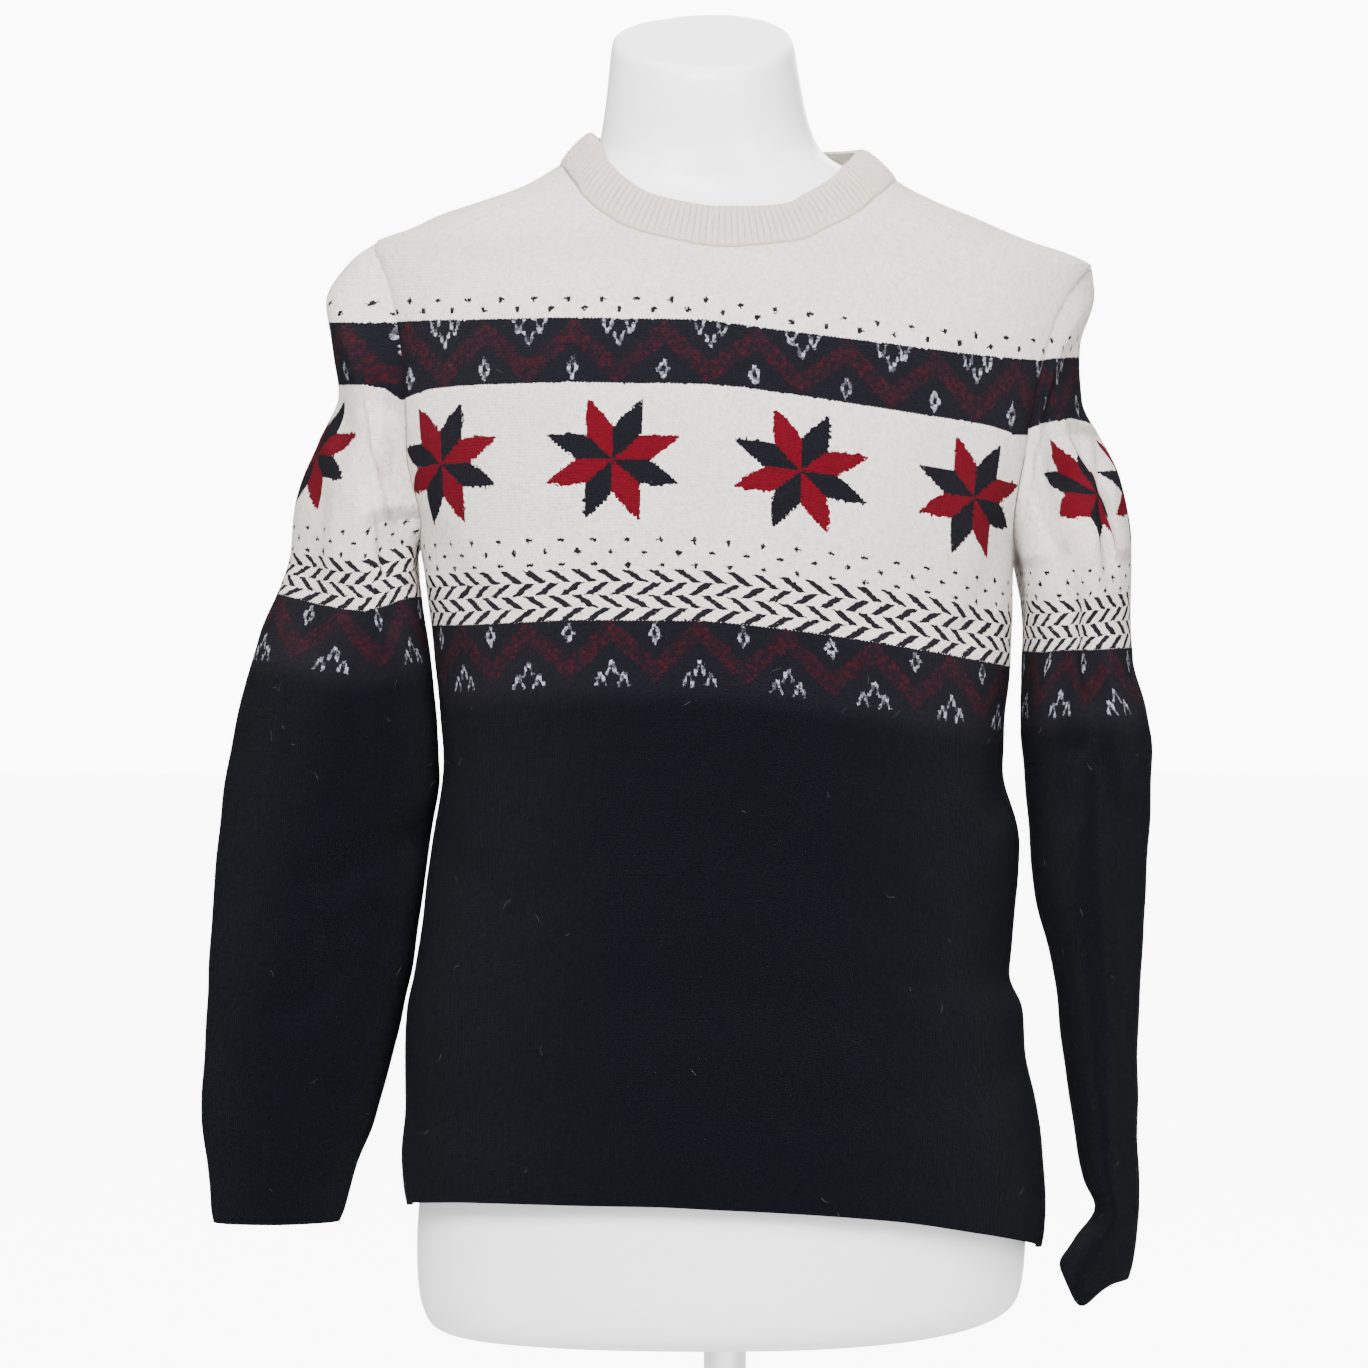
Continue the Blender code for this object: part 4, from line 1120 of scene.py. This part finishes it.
def navy_felt(paint, place, colours, band, grain, down):
    """The bands' navy running into the body's deeper one, under a haze of lighter fibres."""
    plain = paint.soft_step(down, LOWER_BAND_FOOT - 2.0, LOWER_BAND_FOOT + 8.0)
    navy = paint.mix(plain, band, paint.mix(grain, colours.navy[:], colours.navy_shade[:]))
    haze = paint.soft_step(paint.noise(700.0, 4.0, place, 0.8), 0.62, 0.78)
    return paint.mix(haze * 0.22, navy, colours.haze[:])


def patterned_wool(colours):
    """Felted wool with the yoke's bands, stars, dots and herringbone, and a plain navy body."""
    paint = Paint("patterned_wool")
    place = paint.object_place()
    elsewhere = paint.add("ShaderNodeVectorMath", {"operation": "ADD"}, {0: place, 1: (3.1, 1.7, 0.4)})
    fuzz = paint.noise(420.0, 3.0, place, 0.65) - 0.5
    drift = paint.noise(310.0, 2.0, elsewhere, 0.6) - 0.5
    across, down = paint.knit_place()
    leg = abs(across - across.floor() - 0.5)
    masks = chart_masks(
        half_stepped(across + fuzz * 4.0, across + fuzz * 0.25),
        half_stepped(down + drift * 5.0, down + leg * 0.9 + drift * 0.3),
        herringbone(across + fuzz * 2.2, down + drift * 1.6),
    )

    grain = paint.noise(900.0, 3.0, place, 0.7)
    chance = paint.cell_chance(across, down + leg * 0.9)
    speckle = paint.soft_step(paint.noise(430.0, 3.0, place, 0.8) + chance * 0.3, 0.55, 0.95)
    maroon = paint.mix(speckle, colours.maroon[:], colours.maroon_light[:])
    red = paint.mix(grain * 0.5, colours.red[:], colours.red_shade[:])
    band = paint.mix(grain, colours.band_navy[:], colours.navy[:])
    cream = cream_felt(paint, place, colours)
    navy = navy_felt(paint, place, colours, band, grain, down)

    wear = paint.soft_step(paint.noise(130.0, 3.0, place, 0.7) + chance * 0.35, 0.50, 0.90)
    zigzag = masks["zigzag"] * (0.28 + wear * 0.55) * 0.92
    loss = paint.soft_step(fuzz + chance * 0.45, 0.05, 0.45)
    pale_marks = masks["pale_marks"] * (0.10 + loss * 0.75)
    colour = paint.mix(masks["navy_ground"], cream, navy)
    colour = paint.mix(zigzag, colour, maroon)
    colour = paint.mix(pale_marks, colour, colours.mark[:])
    colour = paint.mix(masks["dark_marks"] * 0.995, colour, band)
    colour = paint.mix(masks["star"], colour, paint.mix(masks["navy_petal"], red, band))
    normal = wool_bump(paint, across, down, place, 0.35)
    return paint.finish(
        colour, 0.95, normal, Sheen_Weight=0.02, Sheen_Roughness=0.5, Specular_IOR_Level=0.01
    )


def ribbed_wool(colours):
    """The neckband's cream wool, a little warmer than the yoke, with painted shade in its rib valleys and at
    its seam.
    """
    paint = Paint("cream_rib_wool")
    place = paint.object_place()
    across, down = paint.knit_place()
    wobble = across + (paint.noise(120.0, 3.0, place, 0.7) - 0.5) * 0.8
    # Painted shade: the rib colour darkens towards the valleys between the ribs, where shade falls.
    valley = abs(wobble - wobble.floor() - 0.5) * 2.0
    between = paint.soft_step(valley, 0.5, 0.0) * (paint.noise(60.0, 3.0, place, 0.7) + 0.1)
    # Painted shadow: a thin dark line along the seam at the band's foot, mixed in with the rib's painted
    # shade.
    seam = paint.soft_step(abs(down), 1.1, 0.1) * 0.75
    shade = paint.mix(between.most(seam), colours.rib[:], colours.rib_painted_shade[:])
    tufts = paint.soft_step(paint.noise(420.0, 5.0, place, 0.85), 0.42, 0.66)
    shade = paint.mix(tufts * 0.5, shade, colours.cream_depth[:])
    shade = paint.mix(paint.noise(30.0, 3.0, place, 0.6) * 0.5, shade, colours.cream_shade[:])
    specks = paint.soft_step(paint.noise(600.0, 2.0, place, 0.8), 0.70, 0.82) * 0.3
    colour = paint.mix(specks, shade, colours.fleck[:])
    normal = wool_bump(paint, across * 2.0, down, place, 0.6)
    return paint.finish(
        colour, 0.95, normal, Sheen_Weight=0.08, Sheen_Roughness=0.5, Specular_IOR_Level=0.05
    )


def form_plastic(colours):
    """Smooth white moulded plastic with the faintest orange peel and a few scuffs."""
    paint = Paint("white_form_plastic")
    place = paint.object_place()
    peel = paint.noise(220.0, 2.0, place)
    scuffs = paint.soft_step(paint.noise(38.0, 5.0, place, 0.7), 0.58, 0.75)
    colour = paint.mix(scuffs * 0.15, colours.form[:], colours.form_shade[:])
    normal = paint.bump(peel, 0.08, 0.0003)
    return paint.finish(colour, scuffs * 0.12 + 0.40, normal, Coat_Weight=0.15)


def polished_steel(colours):
    """Bright steel, with fine turning lines and slight smears."""
    paint = Paint("polished_steel")
    place = paint.object_place()
    smears = paint.noise(24.0, 4.0, place, 0.6)
    lines = paint.add(
        "ShaderNodeTexWave",
        {"bands_direction": "Z"},
        {"Vector": place, "Scale": 900.0, "Distortion": 0.6, "Detail": 1.0},
        output="Fac",
    )
    colour = paint.mix(smears * 0.4, colours.steel[:], colours.steel_shade[:])
    return paint.finish(colour, smears * 0.14 + 0.08, paint.bump(lines, 0.05, 0.0001), Metallic=1.0)


def plain_studio(colours):
    """The pale, even floor, which looks as white as the backdrop and still takes a soft shadow."""
    paint = Paint("pale_floor")
    place = paint.object_place()
    colour = paint.mix(paint.noise(3.0, 2.0, place), colours.floor[:], colours.floor_shade[:])
    material = paint.finish(colour, 0.9)
    glow = paint.add(
        "ShaderNodeEmission", sockets={"Strength": bpy.context.scene.sweater_sizes.backdrop}
    )
    seen = paint.add("ShaderNodeLightPath", output="Is Camera Ray")
    surface = Link(paint, paint.shader.outputs["BSDF"])
    both = paint.add("ShaderNodeMixShader", sockets={0: seen * 0.88, 1: surface, 2: glow})
    paint.join(paint.nodes["Material Output"].inputs["Surface"], both)
    return material


def colour_property(name, description, value):
    return FloatVectorProperty(
        name=name, description=description, default=(*value, 1.0), size=4, min=0, max=1, subtype="COLOR"
    )


class SweaterColours(bpy.types.PropertyGroup):
    """The wools' and the stand's colours."""

    cream: colour_property("Cream", "Yoke wool", (0.93, 0.865, 0.80))
    cream_shade: colour_property("Cream shade", "Yoke wool where it is greyer", (0.82, 0.76, 0.70))
    cream_depth: colour_property("Cream depth", "Between the yoke's fibres", (0.66, 0.60, 0.54))
    mark: colour_property("Marks", "Small pale motifs of the bands", (0.46, 0.46, 0.54))
    rib: colour_property("Rib", "Neckband wool", (0.93, 0.84, 0.71))
    # Painted shade: this colour darkens the rib valleys and the seam line at the neckband's foot.
    rib_painted_shade: colour_property("Rib shade", "Between the ribs", (0.52, 0.45, 0.36))
    fleck: colour_property("Fleck", "Darker specks in the cream", (0.36, 0.33, 0.30))
    navy: colour_property("Navy", "Body wool", (0.0034, 0.0037, 0.0064))
    navy_shade: colour_property("Navy shade", "Body wool in its depth", (0.0020, 0.0023, 0.0044))
    band_navy: colour_property("Band navy", "Navy of the bands and petals", (0.0105, 0.0098, 0.0140))
    haze: colour_property("Haze", "Lighter fibres on the navy", (0.013, 0.014, 0.021))
    maroon: colour_property("Maroon", "The zigzags", (0.019, 0.0056, 0.0092))
    maroon_light: colour_property("Light maroon", "Brighter stitches of the zigzags", (0.055, 0.0055, 0.0105))
    red: colour_property("Red", "Star petals", (0.120, 0.0024, 0.0090))
    red_shade: colour_property("Red shade", "Star petals where they are darker", (0.075, 0.0018, 0.0060))
    lint: colour_property("Lint", "Loose pale fibres", (0.10, 0.10, 0.12))
    form: colour_property("Form", "Dress form", (0.88, 0.88, 0.89))
    form_shade: colour_property("Form shade", "Scuffs on the dress form", (0.78, 0.78, 0.79))
    steel: colour_property("Steel", "Pole and base", (0.72, 0.72, 0.74))
    steel_shade: colour_property("Steel shade", "Smears on the steel", (0.50, 0.50, 0.52))
    floor: colour_property("Floor", "Studio floor", (0.86, 0.86, 0.86))
    floor_shade: colour_property("Floor shade", "Studio floor where it is darker", (0.82, 0.82, 0.82))


class SweaterSizes(bpy.types.PropertyGroup):
    """Sizes of the finish."""

    fibre_length: FloatProperty(
        name="Fibre length", description="How long the felt's fibres are", default=0.0032, unit="LENGTH"
    )
    fibre_width: FloatProperty(
        name="Fibre width", description="How wide a fibre is", default=0.00009, unit="LENGTH"
    )
    fibre_count: IntProperty(
        name="Fibres", description="Fibres on each panel", default=16000, min=0, max=60000
    )
    lint_count: IntProperty(
        name="Lint", description="Loose pale fibres on each piece", default=70, min=0, max=1000
    )
    lens: FloatProperty(
        name="Lens", description="Focal length of the camera", default=CAMERA_LENS, unit="CAMERA"
    )
    key_light: FloatProperty(
        name="Key light", description="Power of the front light", default=118.0, unit="POWER"
    )
    sky: FloatProperty(name="Sky", description="Strength of the even light", default=0.5)
    backdrop: FloatProperty(
        name="Backdrop", description="Brightness of the white behind the sweater", default=11.0
    )


def finishes():
    """Each material by name, made once."""
    colours = bpy.context.scene.sweater_colours
    makers = {
        "patterned_wool": patterned_wool,
        "cream_rib_wool": ribbed_wool,
        "white_form_plastic": form_plastic,
        "polished_steel": polished_steel,
        "pale_floor": plain_studio,
    }
    return {name: bpy.data.materials.get(name) or make(colours) for name, make in makers.items()}


def lint_wool():
    """Loose, pale fibres caught on the felt."""
    found = bpy.data.materials.get("loose_lint")
    if found:
        return found
    paint = Paint("loose_lint")
    colours = bpy.context.scene.sweater_colours
    tint = paint.mix(paint.noise(90.0, 2.0, paint.object_place()), colours.lint[:], colours.haze[:])
    return paint.finish(tint, 0.9, Sheen_Weight=0.2)


def dress_in(node, name, surface, material, fibres, seed):
    """One piece of the sweater with its felt, in place of its plain solid."""
    outer, inner, _, places, closed = surface
    sizes = bpy.context.scene.sweater_sizes
    piece = cloth_shell(name, outer, inner, places, closed, material)
    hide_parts(node)
    felt = felt_fibres(
        name + "_felt", surface, fibres, sizes.fibre_length, sizes.fibre_width, FIBRE_LIFT,
        seed, material,
    )
    with_pieces = [felt]
    if node != "neckband":
        lint = felt_fibres(
            name + "_lint", surface, sizes.lint_count, LINT_LENGTH, LINT_WIDTH, LINT_LIFT,
            seed + LINT_SEED, lint_wool(),
        )
        with_pieces.append(lint)
    for thing in [piece, *with_pieces]:
        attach(thing, BODY_NAME)


class SWEATER_OT_form(bpy.types.Operator):
    """Build the smooth white dress form"""

    bl_idname = "sweater.form"
    bl_label = "Dress form"

    def execute(self, context):
        form = frame["nodes"]["display_torso"].copy()
        form.data = form.data.copy()
        form.name = "dress_form"
        form.parent = None
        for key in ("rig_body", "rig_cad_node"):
            del form[key]
        context.scene.collection.objects.link(form)
        select_only(form)
        bpy.ops.object.mode_set(mode="EDIT")
        bpy.ops.mesh.select_all(action="SELECT")
        bpy.ops.mesh.remove_doubles(threshold=0.00001)
        bpy.ops.mesh.tris_convert_to_quads(face_threshold=0.9, shape_threshold=1.2)
        bpy.ops.mesh.normals_make_consistent(inside=False)
        bpy.ops.object.mode_set(mode="OBJECT")
        smooth = form.modifiers.new("smooth", "SUBSURF")
        smooth.levels = smooth.render_levels = 2
        bpy.ops.object.modifier_apply(modifier=smooth.name)
        bpy.ops.object.shade_smooth()
        form.data.materials.clear()
        form.data.materials.append(finishes()["white_form_plastic"])
        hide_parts("display_torso")
        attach(form, BODY_NAME)
        return {"FINISHED"}


class SWEATER_OT_stand(bpy.types.Operator):
    """Finish the pole and build the turned base plate"""

    bl_idname = "sweater.stand"
    bl_label = "Pole and base"

    def execute(self, context):
        steel = finishes()["polished_steel"]
        pole = frame["nodes"]["stand_pole"]
        pole.material_slots[0].material = steel
        low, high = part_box("stand_base")
        radius, thickness = high.x, high.z - low.z
        bpy.ops.object.select_all(action="DESELECT")
        bpy.ops.mesh.primitive_cylinder_add(
            vertices=160, radius=radius, depth=thickness, location=(0, 0, low.z + thickness / 2)
        )
        base = context.object
        base.name = base.data.name = "round_base"
        bpy.ops.object.transform_apply(location=True, rotation=True, scale=True)
        rim = base.modifiers.new("rim", "BEVEL")
        rim.width = thickness * 0.25
        rim.segments = 5
        rim.limit_method = "ANGLE"
        rim.angle_limit = math.radians(40)
        bpy.ops.object.modifier_apply(modifier=rim.name)
        bpy.ops.object.shade_smooth_by_angle(angle=math.radians(30))
        base.data.materials.append(steel)
        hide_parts("stand_base")
        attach(base, BODY_NAME)
        return {"FINISHED"}


class SWEATER_OT_cloth(bpy.types.Operator):
    """Build the front, back, sleeves and neckband of the sweater"""

    bl_idname = "sweater.cloth"
    bl_label = "Sweater"

    def execute(self, context):
        wool = finishes()["patterned_wool"]
        rib = finishes()["cream_rib_wool"]
        fibres = context.scene.sweater_sizes.fibre_count
        surfaces = cloth_surfaces()
        for seed, (node, name, material, slot, share) in enumerate((
            ("sweater_front", "knitted_front", wool, "navy_wool", 1.0),
            ("sweater_back", "knitted_back", wool, "navy_wool", 1.0),
            ("sleeve_right", "knitted_sleeve_right", wool, "navy_wool", SLEEVE_FIBRE_SHARE),
            ("sleeve_left", "knitted_sleeve_left", wool, "navy_wool", SLEEVE_FIBRE_SHARE),
            ("neckband", "ribbed_neckband", rib, "cream_rib", NECKBAND_FIBRE_SHARE),
        )):
            dress_in(node, name, surfaces[node], material, int(fibres * share), seed)
        return {"FINISHED"}


class SWEATER_OT_studio(bpy.types.Operator):
    """Build the floor, the lights and the camera"""

    bl_idname = "sweater.studio"
    bl_label = "Studio"

    def execute(self, context):
        sizes = context.scene.sweater_sizes
        bpy.ops.object.select_all(action="DESELECT")
        bpy.ops.mesh.primitive_plane_add(size=FLOOR_SIZE, location=(0, 0, 0))
        floor = context.object
        floor.name = "studio_floor"
        floor.data.materials.append(finishes()["pale_floor"])
        for name, place, size, share in (
            ("key", (-0.45, -1.7, 1.95), 0.9, 1.0),
            ("fill", (0.95, -1.9, 1.35), 0.9, 0.4),
            ("top", (0.0, -0.2, 2.5), 1.2, 0.3),
            ("back", (0.3, 2.3, 1.8), 1.6, 0.8),
        ):
            bpy.ops.object.light_add(type="AREA", location=place)
            lamp = context.object
            lamp.name = name + "_light"
            lamp.data.size = size
            lamp.data.energy = sizes.key_light * share
            lamp.visible_camera = False
            aim = -lamp.location
            aim.z += LAMP_AIM_HEIGHT
            lamp.rotation_euler = aim.to_track_quat("-Z", "Y").to_euler()
        world = bpy.data.worlds.new("even_sky")
        world.use_nodes = True
        nodes = world.node_tree.nodes
        sky = nodes["Background"]
        sky.inputs["Color"].default_value = (1, 1, 1, 1)
        seen = nodes.new("ShaderNodeLightPath")
        brightness = nodes.new("ShaderNodeMapRange")
        brightness.inputs["To Min"].default_value = sizes.sky
        brightness.inputs["To Max"].default_value = sizes.backdrop
        world.node_tree.links.new(seen.outputs["Is Camera Ray"], brightness.inputs["Value"])
        world.node_tree.links.new(brightness.outputs[0], sky.inputs["Strength"])
        context.scene.world = world
        bpy.ops.object.camera_add(location=CAMERA_PLACE, rotation=(math.pi / 2, 0, 0))
        camera = context.object
        camera.data.sensor_width = SENSOR_WIDTH
        camera.data.lens = sizes.lens
        context.scene.camera = camera
        return {"FINISHED"}


class SWEATER_PT_panel(bpy.types.Panel):
    """The sweater's pieces in the sidebar"""

    bl_label = "Christmas sweater"
    bl_idname = "SWEATER_PT_panel"
    bl_space_type = "VIEW_3D"
    bl_region_type = "UI"
    bl_category = "Sweater"

    def draw(self, context):
        for step in STEPS:
            self.layout.operator(step.bl_idname)
        for group, kind in (
            (context.scene.sweater_sizes, SweaterSizes),
            (context.scene.sweater_colours, SweaterColours),
        ):
            for name in kind.__annotations__:
                self.layout.prop(group, name)


STEPS = (SWEATER_OT_studio, SWEATER_OT_form, SWEATER_OT_stand, SWEATER_OT_cloth)
CLASSES = (SweaterColours, SweaterSizes, *STEPS, SWEATER_PT_panel)


def register():
    for kind in CLASSES:
        bpy.utils.register_class(kind)
    bpy.types.Scene.sweater_colours = PointerProperty(type=SweaterColours)
    bpy.types.Scene.sweater_sizes = PointerProperty(type=SweaterSizes)


def unregister():
    del bpy.types.Scene.sweater_sizes
    del bpy.types.Scene.sweater_colours
    for kind in reversed(CLASSES):
        bpy.utils.unregister_class(kind)


def main():
    register()
    bpy.ops.sweater.studio()
    bpy.ops.sweater.form()
    bpy.ops.sweater.stand()
    bpy.ops.sweater.cloth()


if __name__ == "__main__":
    main()
